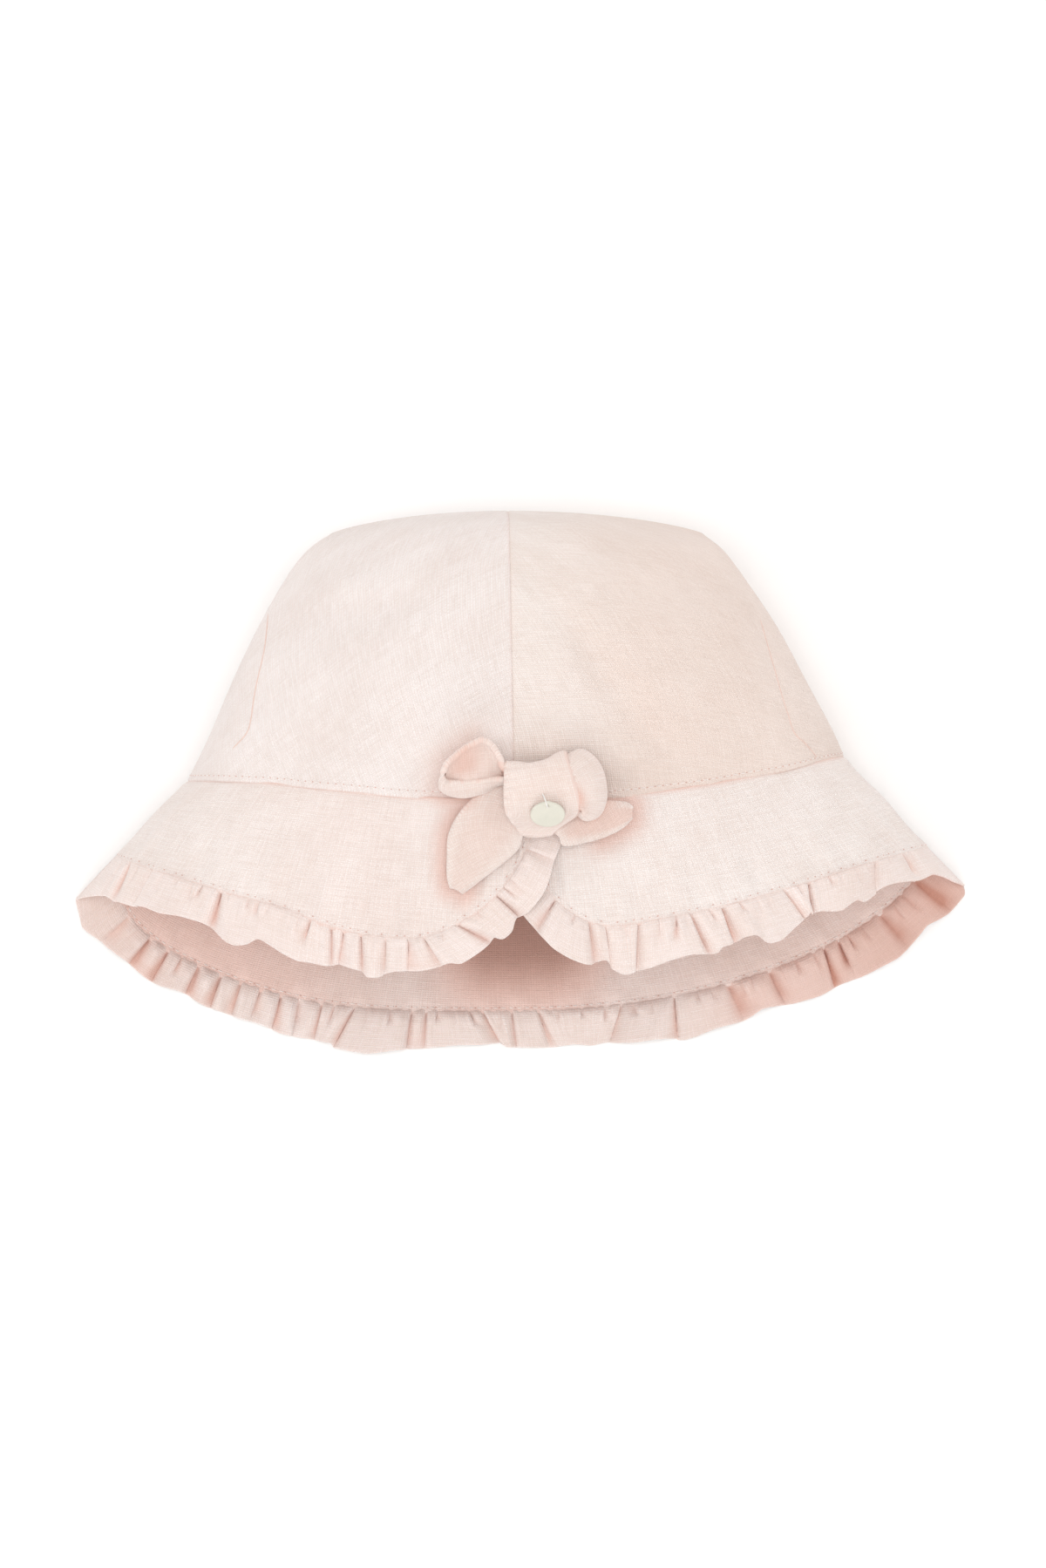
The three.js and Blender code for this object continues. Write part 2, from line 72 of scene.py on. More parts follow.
def curveThrough(rows, closed=False):
    # a smooth curve through table rows, read at shares from 0 to 1
    knots = np.array(rows, float).reshape(len(rows), -1)
    count = len(knots)
    if closed:
        slopes = (np.roll(knots, -1, 0) - np.roll(knots, 1, 0)) / 2
    else:
        padded = np.vstack([2 * knots[0] - knots[1], knots, 2 * knots[-1] - knots[-2]])
        slopes = (padded[2:] - padded[:-2]) / 2
    spans = count if closed else count - 1

    def at(share):
        place = np.mod(share, 1) * spans if closed else np.clip(share, 0, 1) * spans
        span = np.minimum(np.floor(place).astype(int), spans - 1)
        part = (place - span)[..., None]
        after = (span + 1) % count
        square, cube = part**2, part**3
        start = knots[span] * (2 * cube - 3 * square + 1) + slopes[span] * (cube - 2 * square + part)
        return start + knots[after] * (3 * square - 2 * cube) + slopes[after] * (cube - square)

    return at


def ripples(x, y, seed, waves, shortest, longest):
    # gentle unevenness from crossed waves, about -1 to 1
    draw = np.random.default_rng(seed)
    total = np.zeros(np.broadcast(x, y).shape)
    for _ in range(waves):
        heading = draw.uniform(0, math.pi)
        length = draw.uniform(shortest, longest)
        total += np.sin(2 * math.pi * (x * math.cos(heading) + y * math.sin(heading)) / length
                        + draw.uniform(0, 2 * math.pi))
    return total / math.sqrt(waves)


def waver(lengths, pitch, drift, sway=2):
    # waves of one pitch that come early and late in turn, over a drift in mm
    return np.sin(2 * math.pi * lengths / pitch + sway * np.sin(lengths / drift))


def blur(values, step, halfWidth):
    # a soft blur along a line of evenly stepped samples
    reach = max(1, int(3 * halfWidth / step))
    kernel = bell(np.arange(-reach, reach + 1) * step, halfWidth * math.sqrt(2))
    return np.convolve(np.pad(values, reach, mode="edge"), kernel / kernel.sum(), "valid")


def gridNormals(grid, ring=False):
    # rows run down the cloth and columns run round, as seen from outside
    down = np.gradient(grid, axis=0)
    if ring:
        around = (np.roll(grid, -1, 1) - np.roll(grid, 1, 1)) / 2
    else:
        around = np.gradient(grid, axis=1)
    return unit(np.cross(down, around))


def arcLengths(grid, axis):
    steps = np.linalg.norm(np.diff(grid, axis=axis), axis=-1)
    lead = np.zeros_like(np.take(steps, [0], axis=axis))
    return np.cumsum(np.concatenate([lead, steps], axis=axis), axis=axis)


# Cloth walls from two faces. A face is rows x columns x (x, y, z, u, v, painted shade and tint).

def face(points, u, v, paintedShadeAndTint):
    extra = [np.broadcast_to(one, points.shape[:2])[..., None] for one in (u, v, paintedShadeAndTint)]
    return np.concatenate([points, *extra], axis=-1)


def roundRim(upper, lower, onward, steps):
    # the rounded edge that joins two faces, bulging onward
    half = (upper - lower) / 2
    middle = (upper + lower) / 2
    bulge = np.zeros_like(half)
    bulge[..., :3] = unit(onward[..., :3]) * np.linalg.norm(half[..., :3], axis=-1, keepdims=True)
    turns = np.linspace(0, math.pi, steps + 2)[1:-1]
    return [middle + half * math.cos(turn) + bulge * math.sin(turn) for turn in turns]


def clothWall(outer, inner, ring=False, folded=False, rimSteps=3):
    # one closed wall; a ring's last column meets its first, and a folded wall's first row
    # is a fold where the columns of its two halves lie on each other
    rows, columns = outer.shape[:2]
    hem = roundRim(outer[-1], inner[-1], outer[-1] - outer[-2] + inner[-1] - inner[-2], rimSteps)
    layers = [*outer, *hem, *inner[::-1]]
    if not folded:
        layers += roundRim(inner[0], outer[0], outer[0] - outer[1] + inner[0] - inner[1], rimSteps)
    values = np.stack(layers)
    loop = len(layers)
    ids = np.arange(loop * columns).reshape(loop, columns)
    if folded:
        mirrored = np.minimum(np.arange(columns), columns - 1 - np.arange(columns))
        ids[0] = ids[0][mirrored]
        ids[-1] = ids[-1][mirrored]
    else:
        ids = np.vstack([ids, ids[:1]])
    if ring:
        ids = np.hstack([ids, ids[:, :1]])
    quads = np.stack([ids[:-1, :-1], ids[1:, :-1], ids[1:, 1:], ids[:-1, 1:]], axis=-1).reshape(-1, 4)
    firstMeets, secondMeets = quads[:, 0] == quads[:, 3], quads[:, 1] == quads[:, 2]
    faces = quads[~firstMeets & ~secondMeets].tolist()
    faces += quads[firstMeets & ~secondMeets][:, :3].tolist()
    faces += quads[secondMeets & ~firstMeets][:, [0, 1, 3]].tolist()
    if not ring:
        innerRow = rows + rimSteps + (rows - 1)  # where the inner face's first row lies in the loop
        for column, flip in ((0, True), (columns - 1, False)):
            line = ids[:, column].tolist()
            caps = [[line[i], line[i + 1], line[innerRow - i - 1], line[innerRow - i]]
                    for i in range(rows - 1)]
            caps.append(line[rows - 1:rows + rimSteps + 1][::-1])
            if not folded:
                caps.append(line[innerRow:innerRow + rimSteps + 2][::-1])
            faces += [cap[::-1] if flip else cap for cap in caps[:rows - 1]]
            faces += [cap if flip else cap[::-1] for cap in caps[rows - 1:]]
    return values.reshape(-1, values.shape[-1]), faces


def makePiece(name, values, faces, materials, materialOf=None):
    # a mesh from values (x, y, z, u, v, painted shade and tint) with the weave's map and the painted
    # shade and tint kept on it
    used = np.unique(np.concatenate([np.array(one) for one in faces]))
    place = np.zeros(len(values), int)
    place[used] = np.arange(len(used))
    values = values[used]
    faces = [place[np.array(one)].tolist() for one in faces]
    mesh = bpy.data.meshes.new(name)
    mesh.from_pydata(((values[:, :3] - hatMiddle) * metre).tolist(), [], faces)
    corners = np.zeros(len(mesh.loops), int)
    mesh.loops.foreach_get("vertex_index", corners)
    weave = mesh.uv_layers.new(name="cloth")
    weave.data.foreach_set("uv", values[corners, 3:5].astype(np.float32).ravel())
    tint = mesh.attributes.new("paintedShadeAndTint", "FLOAT", "POINT")
    tint.data.foreach_set("value", values[:, 5].astype(np.float32))
    mesh.polygons.foreach_set("use_smooth", np.ones(len(mesh.polygons), bool))
    for material in materials:
        mesh.materials.append(material)
    if materialOf is not None:
        mesh.polygons.foreach_set("material_index", materialOf)
    mesh.validate()
    mesh.update()
    piece = bpy.data.objects.new(name, mesh)
    bpy.context.scene.collection.objects.link(piece)
    area = sum(one.area for one in mesh.polygons) / 2
    print("made", name, "with", len(mesh.polygons), "faces and", round(area / metre**2), "mm2 of cloth")
    return piece


# Materials

def linear(hexColour):
    parts = [int(hexColour[i:i + 2], 16) / 255 for i in (1, 3, 5)]
    return (*(p / 12.92 if p <= 0.04045 else ((p + 0.055) / 1.055) ** 2.4 for p in parts), 1)


def addNode(tree, kind, inputs=None, **settings):
    # inputs are nodes, sockets or plain values; a node stands for its result
    node = tree.nodes.new("ShaderNode" + kind)
    for name, value in settings.items():
        setattr(node, name, value)
    for name, value in (inputs or {}).items():
        if isinstance(value, bpy.types.Node):
            value = value.outputs[2 if getattr(value, "data_type", "") == "RGBA" else 0]
        if isinstance(value, bpy.types.NodeSocket):
            tree.links.new(value, node.inputs[name])
        else:
            node.inputs[name].default_value = value
    return node


def colourMix(tree, part, first, second, **settings):
    return addNode(tree, "Mix", {0: part, 6: first, 7: second}, data_type="RGBA", **settings)


def emptyMaterial(name):
    material = bpy.data.materials.new(name)
    material.use_nodes = True
    material.node_tree.nodes.clear()
    return material, material.node_tree


def addSurface(tree, inputs):
    addNode(tree, "OutputMaterial", {0: addNode(tree, "BsdfPrincipled", inputs)})


linenWeave = {
    "threadSpacing": 0.62,  # mm from thread to thread, about what a light hat linen has
    "slubLength": 9,  # mm, the thick and thin places along a thread
    "mottleSize": 24, "mottleShare": 0.5,  # mm, uneven dye and pressing
    "overlap": 0.4,  # how softly one thread passes under the other
    "warmBelow": 0.57, "paleAbove": 0.93,
    "gapWidth": 0.4, "gapShare": 0.45,
    "shadeFrom": 0.5,  # from this much painted shade on, it turns to the deeper painted shade colour
    "weaveInShade": 0.55,
    "heightMm": 0.16, "slubHeight": 2.4, "bump": 0.6,
}


def linenCloth(name, pale, warm, shadeTintColour, gapColour, turnDegrees=0, shadeColour=None):
    # Plain woven linen, washed soft: dull, with threads that go thick and thin, small gaps
    # that show pinker, and a faint bloom of loose fibre along the edges of a fold.
    material, tree = emptyMaterial(name)
    weave = linenWeave
    spacing, slub, overlap = weave["threadSpacing"], weave["slubLength"], weave["overlap"]
    cloth = addNode(tree, "UVMap", uv_map="cloth")
    grain = addNode(tree, "Mapping", {"Vector": cloth, "Rotation": (0, 0, math.radians(turnDegrees))})
    phase = addNode(tree, "VectorMath", {0: grain, "Scale": math.pi / spacing}, operation="SCALE")
    axes = addNode(tree, "SeparateXYZ", {0: phase})
    warpWave = addNode(tree, "Math", {0: axes.outputs[0]}, operation="SINE")
    weftWave = addNode(tree, "Math", {0: axes.outputs[1]}, operation="SINE")
    overUnder = addNode(tree, "Math", {0: warpWave, 1: weftWave}, operation="MULTIPLY")
    threads = []
    for size in ((1 / slub, 1 / spacing, 1), (1 / spacing, 1 / slub, 1)):
        along = addNode(tree, "VectorMath", {0: grain, 1: size}, operation="MULTIPLY")
        slubs = {"Vector": along, "Scale": 1, "Detail": 2, "Roughness": 0.6}
        threads.append(addNode(tree, "TexNoise", slubs))
    onTop = addNode(tree, "MapRange", {0: overUnder, 1: -overlap, 2: overlap})
    thread = addNode(tree, "Mix", {0: onTop, 2: threads[0], 3: threads[1]})
    mottle = addNode(tree, "TexNoise", {"Vector": cloth, "Scale": 1 / weave["mottleSize"], "Detail": 3})
    uneven = addNode(tree, "Math", {
        0: mottle, 1: weave["mottleShare"], 2: thread}, operation="MULTIPLY_ADD")
    tone = addNode(tree, "MapRange", {0: uneven, 1: weave["warmBelow"], 2: weave["paleAbove"]})
    threaded = colourMix(tree, tone, linear(warm), linear(pale))
    crossing = addNode(tree, "Math", {0: overUnder}, operation="ABSOLUTE")
    gap = addNode(tree, "MapRange", {0: crossing, 1: 0, 2: weave["gapWidth"], 3: weave["gapShare"], 4: 0})
    woven = colourMix(tree, gap, threaded, linear(gapColour))
    # painted shade: a value kept on the mesh turns the linen pinker and darker where shade falls, and a
    # little pinker all over on some pieces
    paintedShadeAndTint = addNode(tree, "Attribute", attribute_name="paintedShadeAndTint").outputs["Fac"]
    depth = addNode(tree, "MapRange", {0: paintedShadeAndTint, 1: weave["shadeFrom"], 2: 1})
    shadeTone = colourMix(tree, depth, linear(shadeTintColour), linear(shadeColour or shadeTintColour))
    deep = colourMix(tree, weave["weaveInShade"], shadeTone, woven, blend_type="MULTIPLY")
    height = addNode(tree, "Math", {
        0: thread, 1: weave["slubHeight"], 2: crossing}, operation="MULTIPLY_ADD")
    bump = addNode(tree, "Bump", {
        "Height": height, "Strength": weave["bump"], "Distance": weave["heightMm"] * metre})
    addSurface(tree, {
        "Base Color": colourMix(tree, paintedShadeAndTint, woven, deep), "Normal": bump, "Roughness": 0.92,
        "Specular IOR Level": 0.25, "Sheen Weight": 0.25, "Sheen Roughness": 0.6})
    return material


def cottonThread(name, colour, twistLength=0.4, darker=0.86):
    # Spun cotton sewing thread, pulled down into the cloth: dull, with a fine twist.
    material, tree = emptyMaterial(name)
    place = addNode(tree, "TexCoord").outputs["Object"]
    twist = addNode(tree, "TexNoise", {"Vector": place, "Scale": 1 / (twistLength * metre)})
    shade = addNode(tree, "MapRange", {0: twist, 1: 0.3, 2: 0.7})
    dark = tuple(darker * part for part in linear(colour)[:3]) + (1,)
    tint = colourMix(tree, shade, linear(colour), dark)
    addSurface(tree, {"Base Color": tint, "Roughness": 0.8})
    return material


def pearlShell(name, cloudSize=5):
    # Cut and polished mother of pearl: a satin face, cool white with faint green clouds.
    material, tree = emptyMaterial(name)
    place = addNode(tree, "TexCoord").outputs["Object"]
    clouds = addNode(tree, "TexNoise", {
        "Vector": place, "Scale": 1 / (cloudSize * metre), "Detail": 3, "Distortion": 0.8})
    part = addNode(tree, "MapRange", {0: clouds, 1: 0.35, 2: 0.65})
    tint = colourMix(tree, part, linear("#dad6c8"), linear("#d4d1c3"))
    addSurface(tree, {
        "Base Color": tint, "Roughness": 0.3, "IOR": 1.53, "Coat Weight": 0.15, "Coat Roughness": 0.15})
    return material


# The two crown panels' linens differ in the turn of their grain; the right one is also a touch warmer and
# darker, painted shade, as the light falls from the left.
crownLeftLinen = linenCloth("linenCrownLeft", "#f0e9e6", "#e2d6d0", "#e8c0b2", "#e0c5ba", 32)
crownRightLinen = linenCloth("linenCrownRight", "#f0e8e3", "#e2d5cd", "#e5ccbd", "#e0c4b8", 4, "#eab4a6")
brimLinen = linenCloth("linenBrim", "#efe8e4", "#e1d4cd", "#e8b5a4", "#dfc4b9", 0, "#c09b8f")
frillLinen = linenCloth("linenFrill", "#f0e6e2", "#e3d4cc", "#e9bcac", "#e2c4b9", 0, "#cf9c8b")
bowLinen = linenCloth("linenBow", "#efe5df", "#e3d2c9", "#e9bcac", "#dcb8ac")
# the tails are cut across the grain; their linen is also a darker copy of the bow's, painted shade for
# tails that lie lower and slope away
tailLinenShaded = linenCloth("linenBowTailsShaded", "#ece2dc", "#dfcfc6", "#e4b8a9", "#d8b5a9", 40)
seamThread = cottonThread("cottonThread", "#f0e5e0")
# a darker thread colour for the needles' holes: painted shade in the holes
needleHoleShade = cottonThread("threadInHoleShade", "#d8afa3")
# the darts' sewn folds, a little pinker and darker than the linen: painted shade along their creases
sewnFold = cottonThread("linenSewnFold", "#e8cdc2")
whiteThread = cottonThread("cottonThreadWhite", "#ece8e2")
discPearl = pearlShell("polishedShell")
print("materials made")


# The hat's skin: levels from the top fold down, and turns round it, where 0 is the middle of
# the front, 1 the right fold, 2 the middle of the back and 3 the left fold.

quarters = ("frontLeft", "frontRight", "backLeft", "backRight")


def level(front, back, left, right, dips, full):
    # dips: how late each quarter dips from its fold to the middle; full: how round the front is
    row = {"front": front, "back": back, "left": left, "right": right, "full": full}
    return {**row, **dict(zip(quarters, dips))}


crownLevels = [
    level((-3.5, 80.9, 28), (-3.5, 80.9, 28), (-55.4, 74.2, 28), (53.6, 74.2, 28),
          (1.6, 1.6, 1.6, 1.6), 0.9),
    level((-3.3, 79, 41), (-3.3, 79.4, 14), (-62.6, 69.1, 27.5), (59.8, 69.1, 27.5),
          (1.7, 1.7, 1.45, 1.45), 0.9),
    level((-3.1, 73.5, 53), (-3, 72, 3), (-68.7, 61.2, 27), (65.9, 61.2, 27),
          (1.9, 1.9, 1.25, 1.25), 0.9),
    level((-2.7, 60, 64), (-2.5, 58, 0), (-77, 46.6, 26), (75.7, 46.6, 26),
          (2.2, 2.2, 1.05, 1.05), 0.88),
    level((-2.3, 38, 71), (-2, 32, 0), (-85, 29.8, 24), (84.8, 29.8, 24),
          (2.8, 2.2, 0.95, 0.95), 0.88),
    level((-1.9, 16, 72.5), (-1.5, 2, 0), (-91.6, 14.7, 21), (92.1, 16.5, 21),
          (4, 2.2, 0.9, 0.9), 0.92),
    level((-1.6, -4.2, 69.5), (-1, -26.5, 0), (-97.9, 2.1, 18), (95.4, 9.3, 18),
          (5, 2.2, 0.85, 0.95), 1),
]
brimLevels = [
    crownLevels[-1],
    level((-1.4, -23.5, 69.5), (-0.5, -46.5, 0), (-109.6, -9.3, 13), (108.3, -4.6, 13),
          (3.2, 2.4, 0.8, 1.05), 1.08),
    level((-1.2, -42.2, 68), (0, -67.2, 0), (-120.7, -20.9, 9), (121.7, -18.1, 9),
          (2.2, 2.7, 0.72, 1.2), 1.15),
]
backFlat = 0.5  # how quickly the back drops from a side fold to the floor
backRest = 0.75  # share of that drop after which the cloth lies on the floor


def guidesOf(levels):
    return {name: curveThrough([row[name] for row in levels]) for name in levels[0]}


crownGuides = guidesOf(crownLevels)
brimGuides = guidesOf(brimLevels)


def sectionPoint(guides, share, turns):
    share, turns = np.broadcast_arrays(np.asarray(share, float), np.asarray(turns, float))
    turn = np.mod(turns, 4)
    onFront = (turn <= 1) | (turn >= 3)
    onRight = turn <= 2
    side = np.where(onRight[..., None], guides["right"](share), guides["left"](share))
    middle = np.where(onFront[..., None], guides["front"](share), guides["back"](share))
    fromMiddle = np.where(onFront, np.minimum(turn, 4 - turn), np.abs(turn - 2))
    swing = fromMiddle * math.pi / 2
    near = np.maximum(np.cos(swing), 0)
    dips = {name: guides[name](share)[..., 0] for name in quarters}
    dip = np.where(onFront, np.where(onRight, dips["frontRight"], dips["frontLeft"]),
                   np.where(onRight, dips["backRight"], dips["backLeft"]))
    rise = near ** guides["full"](share)[..., 0]
    drop = np.where(onFront, rise, np.minimum(near**backFlat / backRest, 1))
    x = mix(middle[..., 0], side[..., 0], np.sin(swing))
    y = mix(side[..., 1], middle[..., 1], near**dip)
    z = mix(side[..., 2], middle[..., 2], drop)
    return np.stack([x, y, np.maximum(z, 0)], axis=-1)


def skinNormal(skin, share, turns, step=1e-3):
    down = skin(share + step, turns) - skin(share - step, turns)
    around = skin(share, turns + step) - skin(share, turns - step)
    return unit(np.cross(down, around))


# Crown panels

crownPanels = {
    "wall": 1.6,
    "rows": 96, "columns": 130,
    "edgeStep": 0.35, "height": 120, "round": 300,  # mm, how fine the grid is at a panel's edges
    "topSpread": 1.35,  # closer rows near the top fold
    "seamRoll": 0.16, "seamRollWidth": 0.6,  # the middle seam pulls its two edges in
    "seamPucker": 0.35, "puckerWave": (6.3, 17),  # its pitch and its drift
    "bandRise": 0.05, "bandWidth": 3.4, "bandEdge": 0.8,  # the seam allowance above the brim
    "dents": [  # centre, depth, half lengths along and across a line at an angle
        {"x": -46, "y": 51, "depth": 2.6, "along": 24, "across": 4.5, "angle": 4},
        {"x": 24, "y": 34, "depth": 3.0, "along": 28, "across": 5, "angle": -52},
        {"x": 42, "y": 12, "depth": 2.8, "along": 20, "across": 5.5, "angle": -28},
        {"x": -60, "y": 14, "depth": 1.2, "along": 20, "across": 7, "angle": 70},
    ],
    "dentStart": 0.15,  # share of the crown below the top fold where they come in
    "leftDart": [
        (-73.6, 50.6), (-74.3, 39.7), (-76.9, 27.5), (-78.2, 18.6), (-79.6, 15.0), (-83.7, 10.7)],
    "rightDart": [
        (70.0, 48.8), (72.1, 40.9), (75.9, 26.7), (77.7, 21.1), (79.7, 15.5), (83.3, 12.2), (87.1, 7.9)],
    "dartDepth": 0.25, "dartWidth": 1.2, "dartRadius": 0.25, "dartSink": 0.1, "dartPoints": 120,
    "frontShare": 0.2, "sideShare": 0.3,  # how soon folds and unevenness come in from the side folds
    "unevenness": 0.45, "waves": (3, 7, 16, 42),  # seed, number, shortest and longest in mm
    "fineUnevenness": 0.1, "fineWaves": (5, 9, 5, 9),
    # painted shade inside the crown and along its middle seam
    "shadeInside": 0.75, "seamShade": 0.22, "seamShadeWidth": 0.5,
    "rightShade": 0.34, "rightShadeSpan": (-6, 42),  # painted shade, a little more yellow, on the right panel towards its side, where less light falls
    # one panel as it is cut: a D from the middle seam to the side, and from front to back
    "flat": (0.138, 0.235), "flatArea": 0.0208,
}


def dentDepth(x, y):
    depth = np.zeros_like(x)
    for dent in crownPanels["dents"]:
        angle = math.radians(dent["angle"])
        dx, dy = x - dent["x"], y - dent["y"]
        along = (dx * math.cos(angle) + dy * math.sin(angle)) / dent["along"]
        across = (dy * math.cos(angle) - dx * math.sin(angle)) / dent["across"]
        depth += dent["depth"] * np.exp(-along**2 - across**2)
    return depth


def lineDistance(x, y, line, steps=90):
    # from places to a drawn line, as seen from the front
    points = curveThrough(line)(np.linspace(0, 1, steps))
    nearest = np.full(x.shape, np.inf)
    for start, end in zip(points[:-1], points[1:]):
        run = end - start
        part = np.clip(((x - start[0]) * run[0] + (y - start[1]) * run[1]) / (run @ run), 0, 1)
        gap = np.hypot(x - start[0] - part * run[0], y - start[1] - part * run[1])
        nearest = np.minimum(nearest, gap)
    return nearest


def crownSkin(share, turns):
    point = sectionPoint(crownGuides, share, turns)
    towardsFront = np.maximum(np.cos(turns * math.pi / 2), 0)
    belowFold = fade(share, 0, crownPanels["dentStart"])
    point[..., 2] -= dentDepth(point[..., 0], point[..., 1]) * towardsFront * belowFold
    return point


def edgeStops(fine, length, count):
    # shares from 0 to 1 that crowd at both ends; fine is the first step in mm
    ease = np.linspace(0, 1, count)
    return ease - (1 - fine * count / length) * np.sin(2 * math.pi * ease) / (2 * math.pi)


def crownPanel(name, side, material):
    cut = crownPanels
    shares = edgeStops(cut["edgeStep"], cut["height"], cut["rows"]) ** cut["topSpread"]
    turns = (0 if side > 0 else -2) + 2 * edgeStops(cut["edgeStep"], cut["round"], cut["columns"])
    share, turn = np.meshgrid(shares, turns, indexing="ij")
    base = crownSkin(share, turn)
    normals = gridNormals(base)
    normals[0] = unit(normals[0] + normals[0][::-1])
    u, v = arcLengths(base, 1), arcLengths(base, 0)
    fromSeam = np.minimum(u, arcLengths(base[:, ::-1], 1)[:, ::-1])
    fromBrim = arcLengths(base[::-1], 0)[::-1]
    u = u - u[:, [base.shape[1] // 2]]
    x, y = base[..., 0], base[..., 1]
    facing = np.cos(turn * math.pi / 2)
    soft = fade(share, 0, cut["dentStart"]) * fade(np.abs(facing), 0, cut["sideShare"])
    swell = cut["unevenness"] * ripples(x, y, *cut["waves"]) * soft
    swell += cut["fineUnevenness"] * ripples(x, y, *cut["fineWaves"]) * soft
    pucker = 1 + cut["seamPucker"] * waver(v, *cut["puckerWave"])
    roll = cut["seamRoll"] * bell(fromSeam, cut["seamRollWidth"]) * pucker
    bandStart, bandEnd = cut["bandWidth"] - cut["bandEdge"], cut["bandWidth"] + cut["bandEdge"]
    band = cut["bandRise"] * (1 - fade(fromBrim, bandStart, bandEnd))
    dart = lineDistance(x, y, cut["rightDart"] if side > 0 else cut["leftDart"])
    fold = -fade(facing, 0, cut["frontShare"]) * cut["dartDepth"] * bell(dart, cut["dartWidth"])
    outer = base + normals * (swell - roll + band + fold)[..., None]
    outer[..., 2] = np.maximum(outer[..., 2], 0)
    inner = outer - normals * cut["wall"]
    # painted shade along the middle seam, on the right panel towards its side, and all over the inside
    paintedShadeAndTint = cut["seamShade"] * bell(fromSeam, cut["seamShadeWidth"])
    if side > 0:
        paintedShadeAndTint = paintedShadeAndTint + cut["rightShade"] * fade(x, *cut["rightShadeSpan"])
    inside = face(inner, u, v, cut["shadeInside"])
    values, faces = clothWall(face(outer, u, v, paintedShadeAndTint), inside, folded=True)
    piece = makePiece(name, values, faces, [material])
    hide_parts("crown_right" if side > 0 else "crown_left")
    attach(piece, "root")


crownPanel("crownPanelLeft", -1, crownLeftLinen)
crownPanel("crownPanelRight", 1, crownRightLinen)


# Brim

brimCloth = {
    "wall": 1.7,
    "rows": 34, "columns": 760,
    "edgeStep": 0.3, "usualDepth": 40,  # mm, how fine the rows are at its two edges
    "topGap": 0.3,  # under the crown's edge
    "rightPetal": {"cornerTurn": 0.161, "cornerSpan": 0.149, "cornerCut": 1},
    "leftPetal": {"cornerTurn": 0.16, "cornerSpan": 0.2, "cornerCut": 1.14},
    "cornerEnd": math.radians(80),
    "cornerShare": 0.09, "edgeSamples": 4801,
    "lap": {"seamLift": 2.7, "edgeLift": 3.4, "startTurn": 0.26, "fullTurn": 0.12, "seamShare": 0.75},
    "sags": [  # where the edge hangs lower than its even curve
        {"turn": 3.78, "span": 0.134, "drop": 4.1},
        {"turn": 2.33, "span": 0.2, "drop": 2.1},
    ],
    "stitchInset": 1.3,  # mm from the edge to its row of stitches
    "stitchSink": 0.2, "stitchGroove": 0.55,
    "edgeRoll": 0.5, "rollWidth": 0.7, "innerRoll": 0.3,  # how far its edge turns down
    "seamTuck": 0.45, "tuckWidth": 1.3,  # and its other edge, under the crown
    "pull": 0.75,  # the gathers of the frill pull soft folds into the edge
    "pullReach": 11, "pullSpan": (0.5, 5),
    "longPull": {"share": 0.6, "pitch": 15.5, "sway": 3, "drift": 23},
    "shortPull": {"share": 0.5, "pitch": 9.3, "sway": 1.5, "drift": 31},
    "pucker": 0.16, "puckerWave": (4.1, 13), "puckerReach": 3.5,
    "unevenness": 0.4, "waves": (21, 6, 18, 45), "seamCalm": 6,
    "floorGap": 0.8,  # mm from the floor up to its inside
    # amount, place and half width of the painted shade outside
    "shadeSeam": (0.3, 0, 0.7), "shadeEdge": (0.25, 0, 0.5), "shadeFront": (0.1, -45, 35),
    "openingSpan": (9, 34),  # mm from the middle, over which the deep shade ends
    "shadeDeep": (1, 0.4), "deepSpan": (22, 44),  # mm down from the crown's seam
    "shadeInner": 0.85, "innerSpan": (0, 30),  # the shade near the seam, further to the sides
    "shadeMiddle": 0.2, "shadeLeft": 0.5, "shadeRight": 0.28, "sideSpan": (30, 85),
    "flat": (0.037, 0.540),  # its depth, and its length halfway between the seam and the edge
}


def brimBase(share, turns):
    return sectionPoint(brimGuides, np.clip(share, 0, 1), turns)


def brimNormal(share, turns):
    return skinNormal(brimBase, np.clip(share, 0.02, 0.98), turns)


def brimSkin(share, turns):
    lap = brimCloth["lap"]
    spread = mix(lap["seamShare"], 1, share)
    raised = fade(turns, 4 - lap["startTurn"] * spread, 4 - lap["fullTurn"] * spread)
    lift = mix(lap["seamLift"], lap["edgeLift"], share) * raised
    point = brimBase(share, turns) + brimNormal(share, turns) * lift[..., None]
    for sag in brimCloth["sags"]:
        point[..., 1] -= sag["drop"] * share**2 * bell(turns - sag["turn"], sag["span"])
    return point


def edgeStation(part):
    # from the right petal's end round the back to the left petal's end
    right, left, corner = brimCloth["rightPetal"], brimCloth["leftPetal"], brimCloth["cornerShare"]
    end = brimCloth["cornerEnd"]
    angleRight = end * np.clip(1 - part / corner, 0, 1)
    angleLeft = end * np.clip(1 - (1 - part) / corner, 0, 1)
    between = np.clip((part - corner) / (1 - 2 * corner), 0, 1)
    turns = mix(right["cornerTurn"], 4 - left["cornerTurn"], between)
    turns = turns - right["cornerSpan"] * np.sin(angleRight) ** right["cornerCut"]
    turns = turns + left["cornerSpan"] * np.sin(angleLeft) ** left["cornerCut"]
    return turns, np.cos(angleRight) ** right["cornerCut"] * np.cos(angleLeft) ** left["cornerCut"]


fineParts = np.linspace(0, 1, brimCloth["edgeSamples"])
fineTurns, fineReach = edgeStation(fineParts)
fineLength = arcLengths(brimSkin(fineReach, fineTurns), 0)
edgeLength = fineLength[-1]
print("brim edge is", round(edgeLength), "mm long")


